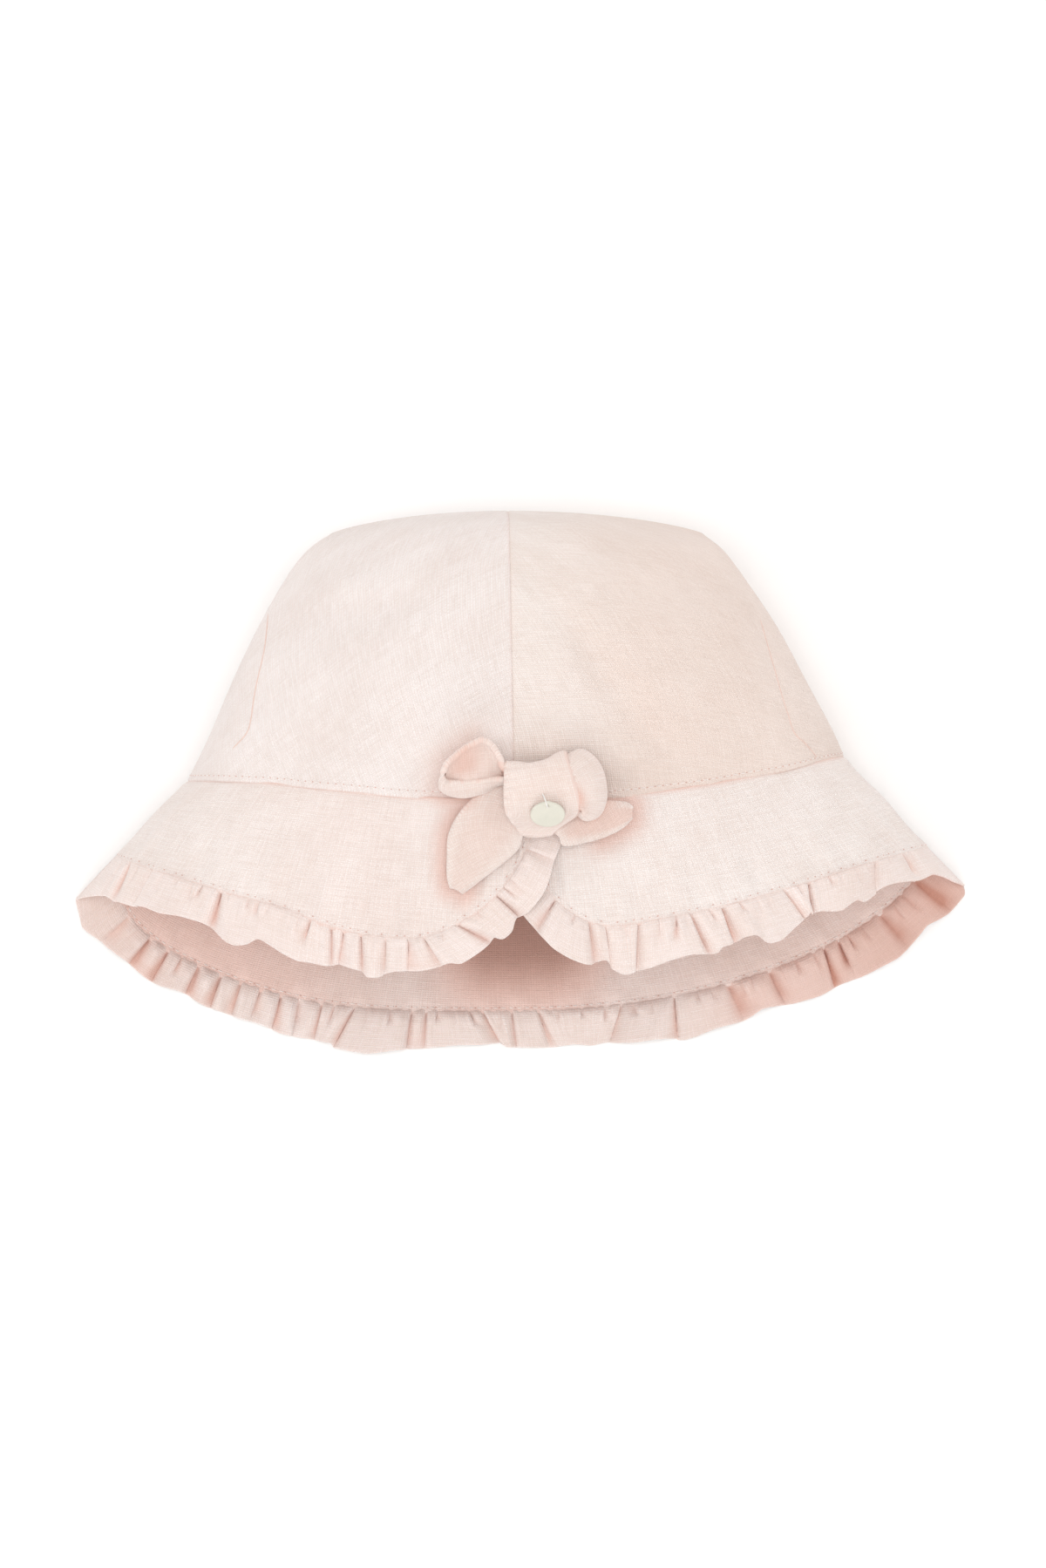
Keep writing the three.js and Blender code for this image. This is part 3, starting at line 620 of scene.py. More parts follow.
def edgeFrame(lengths, step=0.3):
    # the brim's edge at lengths along it: place, along, outward from the edge, and normal
    def station(places):
        return edgeStation(np.interp(places, fineLength, fineParts))

    turns, reach = station(lengths)
    aheadTurns, aheadReach = station(np.minimum(lengths + step, edgeLength))
    behindTurns, behindReach = station(np.maximum(lengths - step, 0))
    along = unit(brimSkin(aheadReach, aheadTurns) - brimSkin(behindReach, behindTurns))
    normal = brimNormal(reach, turns)
    return turns, reach, brimSkin(reach, turns), along, unit(np.cross(along, normal)), normal


def edgeDistance(points, edge, batch=60):
    # from each point to the nearest of the points along an edge, a batch of these at a time
    flat = points.reshape(-1, 3)
    nearest = np.full(len(flat), np.inf)
    for start in range(0, len(edge), batch):
        gaps = np.linalg.norm(flat[:, None] - edge[None, start:start + batch], axis=-1)
        nearest = np.minimum(nearest, gaps.min(axis=1))
    return nearest.reshape(points.shape[:2])


def brimShade(x, v):
    # the painted shade inside: deep under the notch in front, and along the seam
    cut = brimCloth
    deep = mix(*cut["shadeDeep"], fade(v, *cut["deepSpan"]))
    sides = np.where(x > 0, cut["shadeRight"], cut["shadeLeft"])
    sideShade = mix(cut["shadeMiddle"], sides, fade(np.abs(x), *cut["sideSpan"]))
    sideShade = mix(cut["shadeInner"], sideShade, fade(v, *cut["innerSpan"]))
    return mix(deep, sideShade, fade(np.abs(x), *cut["openingSpan"]))


def makeBrim():
    cut = brimCloth
    lengths = np.linspace(0, edgeLength, cut["columns"])
    turns, reach, edge, *_ = edgeFrame(lengths)
    seam, hem = (brimSkin(np.full_like(turns, share), turns) for share in (0, 1))
    depth = np.linalg.norm(hem - seam, axis=-1)
    stops = edgeStops(cut["edgeStep"], cut["usualDepth"], cut["rows"])[:, None]
    share = mix((cut["topGap"] / depth)[None], reach[None], stops)
    base = brimSkin(share, np.broadcast_to(turns, share.shape))
    normals = gridNormals(base)
    u, v = arcLengths(base, 1)[[0]], arcLengths(base, 0)
    x, y = base[..., 0], base[..., 1]
    inset = edgeDistance(base, edge)
    nearEdge = np.exp(-inset / cut["pullReach"]) * fade(inset, *cut["pullSpan"])
    slow, quick = cut["longPull"], cut["shortPull"]
    wander = lengths + slow["sway"] * np.sin(lengths / slow["drift"])
    pull = slow["share"] * np.sin(2 * math.pi * wander / slow["pitch"])
    pull += quick["share"] * waver(lengths, quick["pitch"], quick["drift"], quick["sway"])
    pucker = waver(lengths, *cut["puckerWave"]) * bell(inset, cut["puckerReach"])
    gathers = cut["pull"] * pull * nearEdge + cut["pucker"] * pucker
    soft = cut["unevenness"] * ripples(x, y, *cut["waves"]) * (1 - bell(v, cut["seamCalm"]))
    groove = cut["stitchSink"] * bell(inset - cut["stitchInset"], cut["stitchGroove"])
    turned = cut["edgeRoll"] * bell(inset, cut["rollWidth"])
    swell = soft + gathers - groove - turned - cut["seamTuck"] * bell(v, cut["tuckWidth"])
    outer = base + normals * swell[..., None]
    outer[..., 2] = np.maximum(outer[..., 2], 0)
    innerSwell = gathers + groove + cut["innerRoll"] * turned
    inner = base - normals * (cut["wall"] - innerSwell)[..., None]
    inner[..., 2] = np.maximum(inner[..., 2], cut["floorGap"])
    # painted shade outside: along the seam, at the edge and on the left petal
    paintedShadeAndTint = hump(v, *cut["shadeSeam"]) + hump(inset, *cut["shadeEdge"]) + hump(x, *cut["shadeFront"])
    values, faces = clothWall(face(outer, u, v, paintedShadeAndTint), face(inner, u, v, brimShade(x, v)))
    piece = makePiece("brimPetals", values, faces, [brimLinen])
    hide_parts("brim")
    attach(piece, "root")


makeBrim()


# Frill: a strip folded double and gathered into the brim's edge. Each fold has its x at the
# stitching, its lean to the right on the way to the hem, its depth, the share of the frill's
# width that it runs over, and its half width at the stitching. All but the shares are in mm.

frillCloth = {
    "wall": 0.75,
    "rows": 20, "rowSpread": 0.9, "columns": 1900,
    "crowding": 1.8, "crowdWidth": 1.0,  # more columns at the folds
    "step": 0.15,  # mm between the places where its folds are worked out
    "petalsMeet": 6,  # x where the left petal ends on the right one
    "seed": 7,
    "opening": 1.6,  # how much wider a fold is at the hem
    "sides": (0.7, 2.0), "sideTurn": 0.4,  # its steep and its soft side, as shares of its half width
    "ridge": 0.35, "ridgeAt": 2, "ridgeWidth": 1.2,  # share of its depth that stands out beside it
    "startDepth": 0.55, "startRun": 0.12,  # it is shallower at the stitching
    "fadeFrom": 0.5,  # share of its run where it begins to end
    "tilt": 1.7, "tiltRange": (-0.6, 0.9), "tiltCurve": 0.8,  # of the cloth between two long folds
    "arch": 0.11, "archMost": 1.8, "archStart": 0.7,  # and how it arches, by the distance between them
    "overhang": 0.9, "overhangWidth": 1.5,  # how far a fold's higher side leans over the lower one
    "soften": 0.4,
    "longRun": 0.9,
    "smallEvery": 4.2, "smallDepth": (0.25, 0.6), "smallRun": (0.35, 0.8), "smallHalf": (0.35, 0.6),
    "smallShift": 0.25, "smallLean": 1.5,
    "pucker": 0.13, "puckerWave": (3.1, 7), "puckerReach": 0.2,
    "puffStart": 0.5, "puffRun": 0.1,  # the gathers stand out as soon as they leave the seam
    "calmLength": 26, "calmShare": 0.6,
    "foldTurn": 0.12, "foldLean": 1, "leanTurns": 1.4, "tipCalm": 1, "calmTurns": 1.5,
    "restHeight": 7, "restLift": 0.6, "restRun": 0.35, "restFade": 0.6,  # where it lies on the floor
    "hemRound": 0.6, "hemWave": 0.28, "hemWaves": (41, 6, 5, 15),
    "tuck": 0.2,  # mm of it under the brim's edge
    "flush": 0.5,  # how far it moves up to lie even with the inside of the brim
    "sideChange": 5,  # how soon the side that shows changes at a side fold
    "paintedShadeAndTint": 0.05, "shadeInside": 0.04,
    "shadeFold": 0.6, "shadeDepth": 1.5, "shadeCurve": 1.8,
    "shadeTip": 0.16, "tipSpan": (85, 118),
    "shadeRight": 0.46, "rightSpan": (45, 80),  # painted shade on its right side at the back
}
frontFolds = [
    (-117.4, 0, 0.5, 1.4, 0.4), (-115.4, 0, 1.5, 1.3, 0.6), (-108, -2, 0.4, 0.9, 0.5),
    (-99.1, -2, 0.7, 0.25, 0.5), (-92.3, -3.5, 0.9, 0.55, 0.5), (-87.4, -0.7, 1.6, 1.4, 0.6),
    (-78.6, 0, 0.8, 0.3, 0.5), (-75.6, 1, 0.9, 0.45, 0.7), (-60.3, 0, 1.3, 0.75, 0.5),
    (-54.8, 3.2, 1.2, 1.5, 0.5), (-51.2, 1.2, 1.2, 1.5, 0.5), (-46.2, 2.6, 1.3, 1.5, 0.45),
    (-38.5, 0, 0.9, 1.3, 0.45), (-32.2, 0, 1.1, 1.5, 0.6), (-27.5, 3.2, 1, 1.5, 0.35),
    (-22.6, -1, 0.6, 0.35, 0.5), (-18.4, 6, 1.3, 1.5, 0.5), (-12.1, 0, 0.7, 0.3, 0.9),
    (-6.9, 0, 1.2, 1.5, 0.35), (-4.7, 0, 0.8, 0.6, 0.35), (2, 0, 0.6, 1.3, 0.4),
    (10.4, 2.1, 1.2, 1.5, 0.4), (16, 0, 0.8, 0.3, 0.5), (19.7, 5.5, 1.2, 1.5, 0.5),
    (24.5, 3.6, 0.8, 1.5, 0.35), (30.7, 0, 0.6, 0.3, 0.5), (34.1, -3, 1, 1.4, 0.4),
    (45.3, -1.3, 1.3, 0.75, 0.45), (49.1, 3.3, 1.4, 1.5, 0.45), (54.5, 3.6, 0.9, 0.45, 0.45),
    (58.2, 1.5, 1.5, 1.5, 0.5), (63.3, 2.6, 0.9, 0.35, 0.45), (76.5, 5, 1.2, 1.5, 0.5),
    (84.4, -1.3, 1.4, 1.5, 0.45), (89.5, 2, 0.9, 0.4, 0.5), (104.4, -5, 0.8, 1.2, 1.4),
    (112.6, 3, 1.3, 1, 0.6),
]
backFolds = [
    (117.3, 0, 1.4, 1.3, 1.2), (107, 1, 1, 1.2, 1), (97.4, 0.5, 0.9, 0.5, 0.5),
    (95, -1, 1.5, 0.9, 0.5), (90.4, -1.9, 1.6, 1.5, 0.5), (82, -1, 0.8, 0.4, 0.6),
    (74, 1, 1.1, 1.2, 0.9), (61.7, 2.5, 1.3, 1.3, 1.3), (53, 0, 0.7, 0.3, 0.5),
    (46.2, -1.7, 1.5, 1.5, 0.45), (33.9, 1, 0.9, 0.4, 0.8), (30.2, -4.5, 1.1, 1.4, 0.45),
    (24.9, 0, 1, 0.5, 0.5), (18.2, 0, 0.8, 0.3, 0.5), (11.5, 0.5, 0.7, 0.35, 0.5),
    (5.2, 4, 1.3, 1.4, 0.5), (-2.2, 0.8, 1.2, 1.4, 0.45), (-11, 5, 1.4, 1.4, 0.5),
    (-15.2, 4.5, 1, 0.55, 0.5), (-24.7, -1, 0.9, 0.4, 0.5), (-27.7, -0.8, 1.3, 1.4, 0.45),
    (-32.4, -1.6, 1.3, 1.4, 0.45), (-38.9, -0.5, 0.9, 0.4, 0.5), (-49, -5.5, 1.4, 1.4, 0.5),
    (-55.1, -1.4, 1.1, 0.6, 0.5), (-58.7, -1, 1.4, 1.4, 0.45), (-66, 0, 1, 0.9, 0.7),
    (-71.5, 0.5, 1.6, 1.4, 0.6), (-77.5, 0, 1.2, 1.1, 0.6), (-83, 0.5, 1.6, 1.4, 0.6),
    (-88.9, 0, 1.8, 1.4, 0.6), (-95.9, 0, 1.8, 1.5, 0.65), (-101.1, 0, 1.2, 0.7, 0.5),
    (-104.6, 0, 1.8, 1.5, 0.65), (-110.4, 0, 1.8, 1.5, 0.65), (-116.5, 0, 1.2, 1.2, 0.8),
]
# x at the stitching and the width from there to the hem, where the hem turns
frontHem = [
    (-120.6, 18.9), (-119.6, 16.6), (-118.2, 14.2), (-116.7, 13), (-115, 14), (-111, 13),
    (-102.3, 12.2), (-96, 11.6), (-89, 11.5), (-85.5, 13.3), (-81.8, 14.8), (-79.4, 14.9),
    (-76, 13.7), (-73.9, 11.3), (-68.5, 12.3), (-62.4, 13.9), (-56.5, 12.7), (-51.4, 10.9),
    (-46.4, 11.1), (-43.9, 12.5), (-39.4, 12.1), (-38.6, 11.2), (-35.4, 10.2), (-28.4, 10.1),
    (-25.7, 9.6), (-24.8, 11.4), (-19.5, 10.8), (-15.5, 9.5), (-14.2, 11.4), (-10.2, 11.2),
    (-7.4, 9.8), (-5.2, 11.7), (2, 9.8), (9.9, 10.8), (12.2, 11.4), (13.1, 12), (16.2, 12.4),
    (18.9, 12.4), (22.9, 10.2), (23.6, 12.2), (25, 13.6), (27.8, 15.2), (31, 14.8), (34.1, 14.2),
    (36.8, 14.2), (38.5, 13.7), (43, 12.8), (45.8, 12.4), (49.8, 13.6), (52, 13.8), (53.2, 12.2),
    (59.2, 12.2), (60.3, 11.2), (63.6, 11), (65.4, 14.4), (69, 14.6), (72, 13), (75.5, 11.2),
    (80, 9.2), (81.7, 10.5), (85.9, 10.1), (92, 11.3), (98, 10.3), (98.9, 11.4), (106.3, 9.2),
    (112, 9.8), (116.5, 9.6), (118.5, 11.6), (119.8, 14.4), (121.4, 17.2),
]
backHem = [
    (121, 16.8), (117, 15.6), (113, 12.8), (109, 13.8), (104.5, 15.2), (98, 14.2), (92, 13.2),
    (86, 13.6), (76, 12.4), (67, 11.4), (60, 12.8), (47, 14), (46, 13.2), (31, 12), (16, 11.4),
    (5, 11.8), (-4, 11.8), (-7, 11.6), (-10.8, 9.8), (-24, 11.6), (-33, 12.6), (-41.5, 14.2),
    (-49, 13.4), (-50, 11.8), (-58, 12.2), (-70, 12), (-76, 10.6), (-84, 11.4), (-95, 10.6),
    (-104, 11.4), (-112, 11.2), (-117, 12.6), (-120, 17),
]


def lengthsAt(places, onBack):
    # lengths along the brim's edge where its front or its back passes places in x
    fineX = brimSkin(fineReach, fineTurns)[:, 0]
    places = np.asarray(places, float)
    if onBack:
        back = (fineTurns > 1) & (fineTurns < 3)
        return np.interp(-places, -fineX[back], fineLength[back])
    right, left = fineTurns <= 1, fineTurns >= 3
    onLeft = np.interp(places, fineX[left], fineLength[left])
    onRight = np.interp(places, fineX[right], fineLength[right])
    return np.where(places > frillCloth["petalsMeet"], onRight, onLeft)


def foldTable(draw):
    # rows of length along the edge, lean along it, depth, run and half width, in order,
    # with small puckers between the drawn folds where these lie far apart
    cut = frillCloth
    rows = []
    for table, onBack, sign in ((frontFolds, False, 1), (backFolds, True, -1)):
        for row, at in zip(table, lengthsAt([row[0] for row in table], onBack)):
            rows.append((at, row[1] * sign, *row[2:]))
    rows = np.array(sorted(rows))
    small = []
    for start, end in zip(rows[:-1, 0], rows[1:, 0]):
        count = int((end - start) / cut["smallEvery"])
        for k in range(1, count):
            at = mix(start, end, (k + draw.uniform(-cut["smallShift"], cut["smallShift"])) / count)
            ranges = [draw.uniform(*cut[name]) for name in ("smallDepth", "smallRun", "smallHalf")]
            small.append((at, draw.uniform(-cut["smallLean"], cut["smallLean"]), *ranges))
    rows = np.vstack([rows, small])
    return rows[np.argsort(rows[:, 0])]


def foldFields(fine, column, folds, drift, draw):
    # the folds' trenches, and the ridges beside them
    cut = frillCloth
    trench = np.zeros((len(column), len(fine)))
    ridge = np.zeros_like(trench)
    for (at, lean, depth, run, halfWidth), steep in zip(folds, draw.choice([-1, 1], len(folds))):
        bend = lean - np.interp(at, fine, drift)
        gap = fine[None] - at - bend * column
        turned = fade(gap * steep, -cut["sideTurn"], cut["sideTurn"])
        spread = halfWidth * (1 + cut["opening"] * column) * mix(*cut["sides"], turned)
        starting = mix(cut["startDepth"], 1, fade(column, 0, cut["startRun"]))
        strength = depth * starting * (1 - fade(column, cut["fadeFrom"] * run, run))
        trench += strength * bell(gap, spread)
        beside = bell(np.abs(gap) - cut["ridgeAt"] * spread, cut["ridgeWidth"] * spread)
        ridge += cut["ridge"] * strength * beside
    return trench, ridge


def spanFields(fine, long, draw):
    # the cloth between two long folds: tilted, arched, and leaning over the lower neighbour
    cut = frillCloth
    which = np.clip(np.searchsorted(long[:, 0], fine, side="right") - 1, 0, len(long) - 2)
    span = (long[1:, 0] - long[:-1, 0])[which]
    inSpan = np.clip((fine - long[which, 0]) / span, 0, 1)
    before, after = (draw.uniform(*cut["tiltRange"], len(long)) for _ in range(2))
    flat = blur(mix(before[which], after[which], inSpan), cut["step"], cut["soften"])
    highest = np.minimum(cut["arch"] * span, cut["archMost"])
    arch = blur(highest * 4 * inSpan * (1 - inSpan), cut["step"], cut["soften"])
    lean = np.zeros_like(fine)
    for k in range(1, len(long) - 1):
        jump = before[k] - after[k - 1]
        over = flat - (before[k] + after[k - 1]) / 2
        lean += cut["overhang"] * -np.sign(jump) * bell(fine - long[k, 0], cut["overhangWidth"]) * over
    return flat, arch, lean


def hemWidths(fine):
    cut = frillCloth
    hem = sorted((at, width) for table, onBack in ((frontHem, False), (backHem, True))
                 for (_, width), at in zip(table, lengthsAt([row[0] for row in table], onBack)))
    width = blur(np.interp(fine, *np.array(hem).T), cut["step"], cut["hemRound"])
    return width + cut["hemWave"] * ripples(fine, 0, *cut["hemWaves"])


def makeFrill():
    cut = frillCloth
    draw = np.random.default_rng(cut["seed"])
    fine = np.arange(0, edgeLength + cut["step"], cut["step"])
    column = (np.linspace(0, 1, cut["rows"]) ** cut["rowSpread"])[:, None]
    folds = foldTable(draw)
    long = folds[folds[:, 3] >= cut["longRun"]]
    drift = np.interp(fine, [0, *long[:, 0], edgeLength], [0, *long[:, 1], 0])
    fields = [*foldFields(fine, column, folds, drift, draw), *spanFields(fine, long, draw), drift]

    crowds = np.sum([bell(fine - row[0], cut["crowdWidth"]) for row in folds], axis=0)
    density = 1 + cut["crowding"] * crowds
    gathered = np.concatenate([[0], np.cumsum((density[1:] + density[:-1]) / 2)])
    evenly = np.linspace(0, gathered[-1], cut["columns"])
    lengths = np.interp(evenly, gathered, np.minimum(fine, edgeLength))
    trench, ridge, flat, arch, lean, drift = (
        np.stack([np.interp(lengths, fine, line) for line in np.atleast_2d(field)]) for field in fields)

    turns, _, edge, along, outward, normal = edgeFrame(lengths)
    fromFold = np.minimum(np.abs(turns - 1), np.abs(turns - 3)) / cut["foldTurn"]
    halfway, hem = (brimSkin(np.full_like(turns, share), turns) for share in (0.5, 1))
    downBrim = cut["foldLean"] * bell(fromFold, cut["leanTurns"])
    outward = unit(mix(outward, unit(hem - halfway), downBrim[:, None]))
    fromEnd = np.minimum(lengths, edgeLength - lengths)
    strength = mix(cut["calmShare"], 1, fade(fromEnd, 0, cut["calmLength"]))
    lying = 1 - fade(edge[:, 2], 0, cut["restHeight"])
    width = np.interp(lengths, fine, hemWidths(fine)) - brimCloth["stitchInset"]
    # the side that shows: outwards at the front, inwards at the back, which lies on the floor
    shown = np.tanh(cut["sideChange"] * np.cos(turns * math.pi / 2))
    pucker = cut["pucker"] * waver(lengths, *cut["puckerWave"])
    puffed = fade(column, 0, cut["puffRun"])
    tilted = cut["tilt"] * flat * column ** cut["tiltCurve"]
    rise = strength * (tilted + arch * puffed * mix(cut["archStart"], 1, column))
    rise = rise + (ridge - trench) * mix(cut["puffStart"], 1, puffed)
    rise = rise + pucker * bell(column, cut["puckerReach"])
    rise = rise * (1 - cut["tipCalm"] * bell(fromFold, cut["calmTurns"]))
    lifted = fade(column, 0, cut["restRun"]) * (1 - cut["restFade"] * column)
    rise = rise + cut["restLift"] * lying * lifted
    sink = brimCloth["wall"] / 2 + cut["flush"] * np.maximum(-shown, 0)
    sink = mix(sink, cut["wall"] / 2, lying * column)
    out = column * width - cut["tuck"]
    sideways = drift * column + lean * column * strength
    middle = edge[None] + outward[None] * out[..., None] + along[None] * sideways[..., None]
    middle = middle + normal[None] * (shown * rise - sink)[..., None]
    middle[..., 2] = np.maximum(middle[..., 2], cut["wall"] / 2)
    aside = gridNormals(middle) * cut["wall"] / 2
    outer, inner = middle + aside, middle - aside
    for one in (outer, inner):
        one[..., 2] = np.maximum(one[..., 2], 0)

    # painted shade in its folds, towards its tips and on its right side at the back
    inFold = cut["shadeFold"] * np.clip(trench / cut["shadeDepth"], 0, 1) ** cut["shadeCurve"]
    outside = cut["paintedShadeAndTint"] + inFold * np.maximum(shown, 0)
    x = middle[..., 0]
    tip = cut["shadeTip"] * fade(np.abs(x), *cut["tipSpan"])
    tip = tip + cut["shadeRight"] * fade(x, *cut["rightSpan"])
    inside = np.clip(cut["shadeInside"] + tip + inFold * np.maximum(-shown, 0), 0, 1)
    u = arcLengths(middle, 1)[[-1]]
    values, faces = clothWall(face(outer, u, out, outside), face(inner, u, out, inside))
    piece = makePiece("gatheredFrill", values, faces, [frillLinen])
    print("frill hem is", round(float(u[0, -1])), "mm long when drawn flat")
    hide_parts("frill")
    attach(piece, "root")


makeFrill()


# Stitches: short threads that dive into the cloth, with the needle's hole at each end, a short darker
# tube of painted shade

stitchRows = {
    "pitch": 2.4, "length": 1.5, "radius": 0.16, "crest": 0.1, "dive": 0.3,
    "holeLength": 0.5, "holeRadius": 0.17,
    "rings": 7, "sides": 6, "taper": 0.95,
    "crownInset": 1.75, "crownDepth": 121,  # mm above the crown's edge, of its depth at the front
    "crownGap": 0.02, "crownPoints": 1500, "crownFront": -0.02,
    "petalGap": 2.0, "brimPoints": 1800, "brimFront": -0.05,
}


def drawnIn(radius, parts, taper, power):
    # the radius along a thread from -1 to 1, drawn in at both ends
    return radius * np.sqrt(1 - taper * np.abs(parts) ** power)


def tubeFaces(rings, sides):
    # the sides of a tube and its two ends
    ids = np.arange(rings * sides).reshape(rings, sides)
    around = np.roll(ids, -1, 1)
    faces = np.stack([ids[:-1], around[:-1], around[1:], ids[1:]], axis=-1).reshape(-1, 4).tolist()
    return [*faces, ids[0][::-1].tolist(), ids[-1].tolist()]


def tubeShape(places, radii, sides):
    # a closed tube in its own axes: forward, up and across
    swing = np.linspace(0, 2 * math.pi, sides, endpoint=False)
    points = [(forward, up + radius * math.cos(a), radius * math.sin(a))
              for (forward, up), radius in zip(places, radii) for a in swing]
    return np.array(points), tubeFaces(len(places), sides)


def stitchSolids(centres, along, normals):
    row = stitchRows
    parts = np.linspace(-1, 1, row["rings"])
    line = [(part * row["length"] / 2, row["crest"] - row["dive"] * abs(part) ** 3) for part in parts]
    thread = tubeShape(line, drawnIn(row["radius"], parts, row["taper"], 8), row["sides"])
    line = [(row["pitch"] / 2 + part * row["holeLength"] / 2, 0) for part in parts]
    hole = tubeShape(line, drawnIn(row["holeRadius"], parts, row["taper"], 2), row["sides"])
    across = np.cross(along, normals)
    values, faces, kinds = [], [], []
    for kind, (points, sides) in enumerate((thread, hole)):
        for centre, *axes in zip(centres, along, normals, across):
            first = len(values) * len(points)
            faces += [[first + i for i in one] for one in sides]
            kinds += [kind] * len(sides)
            values.append(centre + points @ np.stack(axes))
    values = np.concatenate(values)
    return np.hstack([values, np.zeros((len(values), 3))]), faces, np.array(kinds)


def stitchRuns(name, runs):
    # runs of points and normals; no stitch crosses from one run to the next
    placed = []
    for points, normals in runs:
        lengths = arcLengths(points, 0)
        marks = np.arange(stitchRows["pitch"] / 2, lengths[-1], stitchRows["pitch"])
        centres, rise = (np.stack([np.interp(marks, lengths, one[:, axis]) for axis in range(3)], axis=-1)
                         for one in (points, normals))
        placed.append((centres, unit(np.gradient(centres, axis=0)), unit(rise)))
    values, faces, kinds = stitchSolids(*(np.concatenate(parts) for parts in zip(*placed)))
    piece = makePiece(name, values, faces, [seamThread, needleHoleShade], kinds)
    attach(piece, "root")


def laidLine(name, points, radius, material, sides=10, aside=(0.71, 0, 0.7)):
    # a closed round line through points, drawn in at both ends; no line runs along aside
    thin = drawnIn(radius, np.linspace(-1, 1, len(points)), 0.97, 16)[:, None, None]
    run = unit(np.gradient(points, axis=0))
    side = unit(np.cross(run, aside))
    over = np.cross(run, side)
    swing = np.linspace(0, 2 * math.pi, sides, endpoint=False)[None, :, None]
    rings = points[:, None] + thin * (side[:, None] * np.cos(swing) + over[:, None] * np.sin(swing))
    values = np.hstack([rings.reshape(-1, 3), np.zeros((len(points) * sides, 3))])
    piece = makePiece(name, values, tubeFaces(len(points), sides), [material])
    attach(piece, "root")


def surfaceTrees(*names):
    # finished pieces to cast rays at, so that stitches lie on the cloth as it is
    bpy.context.view_layer.update()
    graph = bpy.context.evaluated_depsgraph_get()
    return [BVHTree.FromObject(bpy.data.objects[name], graph) for name in names]


def ontoCloth(points, normals, trees, reach=4):
    placed = points.copy()
    for i, (point, normal) in enumerate(zip(points, normals)):
        start = Vector(((point + reach * normal - hatMiddle) * metre).tolist())
        best = None
        for tree in trees:
            hit = tree.ray_cast(start, Vector((-normal).tolist()), 2 * reach * metre)
            if hit[0] is not None and (best is None or hit[3] < best[3]):
                best = hit
        if best is not None:
            placed[i] = np.array(best[0]) / metre + hatMiddle
    return placed


def sewCrown():
    # the row above the brim, which shows at the front only, and the two darts
    row, cut = stitchRows, crownPanels
    turns = np.linspace(row["crownGap"], 4 - row["crownGap"], row["crownPoints"])
    share = np.full_like(turns, 1 - row["crownInset"] / row["crownDepth"])
    order = np.argsort(np.mod(turns + 2, 4))
    keep = order[np.cos(turns * math.pi / 2)[order] > row["crownFront"]]
    normals = skinNormal(crownSkin, share, turns)[keep]
    trees = surfaceTrees("crownPanelLeft", "crownPanelRight")
    line = ontoCloth(crownSkin(share, turns)[keep], normals, trees)
    stitchRuns("crownSeamStitches", [(line, normals)])
    above, reach = 60, 80  # mm, from well over the crown down to it
    for name, table in (("dartLeft", "leftDart"), ("dartRight", "rightDart")):
        drawn = curveThrough(cut[table])(np.linspace(0, 1, cut["dartPoints"]))
        drawn = np.hstack([drawn, np.full((len(drawn), 1), above)])
        rise = np.tile([0.0, 0, 1], (len(drawn), 1))
        laid = ontoCloth(drawn, rise, trees, reach) - cut["dartSink"] * rise
        laidLine(name, laid, cut["dartRadius"], sewnFold)


def sewBrim():
    # the row along its edge, on both of its faces where they show
    row = stitchRows
    lengths = np.linspace(row["petalGap"], edgeLength - row["petalGap"], row["brimPoints"])
    turns, _, edge, _, outward, normals = edgeFrame(lengths)
    line = edge - outward * brimCloth["stitchInset"]
    trees = surfaceTrees("brimPetals")
    onFloor = np.cos(turns * math.pi / 2) < row["brimFront"]
    runs = []
    for petal in (turns < 2, turns > 2):
        seen = petal & ~onFloor
        runs.append((ontoCloth(line[seen], normals[seen], trees), normals[seen]))
    stitchRuns("brimStitchesOutside", runs)
    inside = ontoCloth(line - normals * brimCloth["wall"], -normals, trees)
    stitchRuns("brimStitchesInside", [(inside, -normals)])


sewCrown()
sewBrim()


# Bow: three turned tubes of linen, pressed flat. A row is the middle of the ribbon and the way
# from there to its edge. Offsets run from -1 to 1 across it, and shares from 0 to 1 along it.

bowRibbon = {
    "wall": 1.5,
    "rows": 23,
    "rimSteps": 6,
    "rimSwell": 0.22, "rimWidth": 0.16,  # the seam inside makes a tube's edges a little thicker
}


def ribbonPiece(name, node, ribbon, shape, outside, inside):
    cut, ring = bowRibbon, ribbon["ring"]
    rows = np.array(ribbon["rows"])
    middle, half = curveThrough(rows[:, :3], ring), curveThrough(rows[:, 3:], ring)
    shares = np.linspace(0, 1, ribbon["columns"], endpoint=not ring)
    offsets = np.sin(np.linspace(-math.pi / 2, math.pi / 2, cut["rows"]))[:, None]
    run = unit(middle(shares + 1e-3) - middle(shares - 1e-3))
    side = half(shares)
    out = unit(np.cross(side, run))
    grid = middle(shares)[None] + side[None] * offsets[..., None]
    lift = shape(offsets, shares[None], grid)
    lift = lift + ribbon["unevenness"] * ripples(grid[..., 0], grid[..., 1], *ribbon["waves"])
    grid = grid + out[None] * lift[..., None]
    thickness = cut["wall"] / 2 + cut["rimSwell"] * bell(1 - np.abs(offsets), cut["rimWidth"])
    aside = gridNormals(grid, ring) * thickness[..., None]
    u, v = arcLengths(grid, 1)[[cut["rows"] // 2]], arcLengths(grid, 0)
    outer = face(grid + aside, u, v, outside(offsets, shares[None]))
    inner = face(grid - aside, u, v, inside(offsets, shares[None]))
    values, faces = clothWall(outer, inner, ring=ring, rimSteps=cut["rimSteps"])
    piece = makePiece(name, values, faces, [ribbon["linen"]])
    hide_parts(node)
    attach(piece, "root")


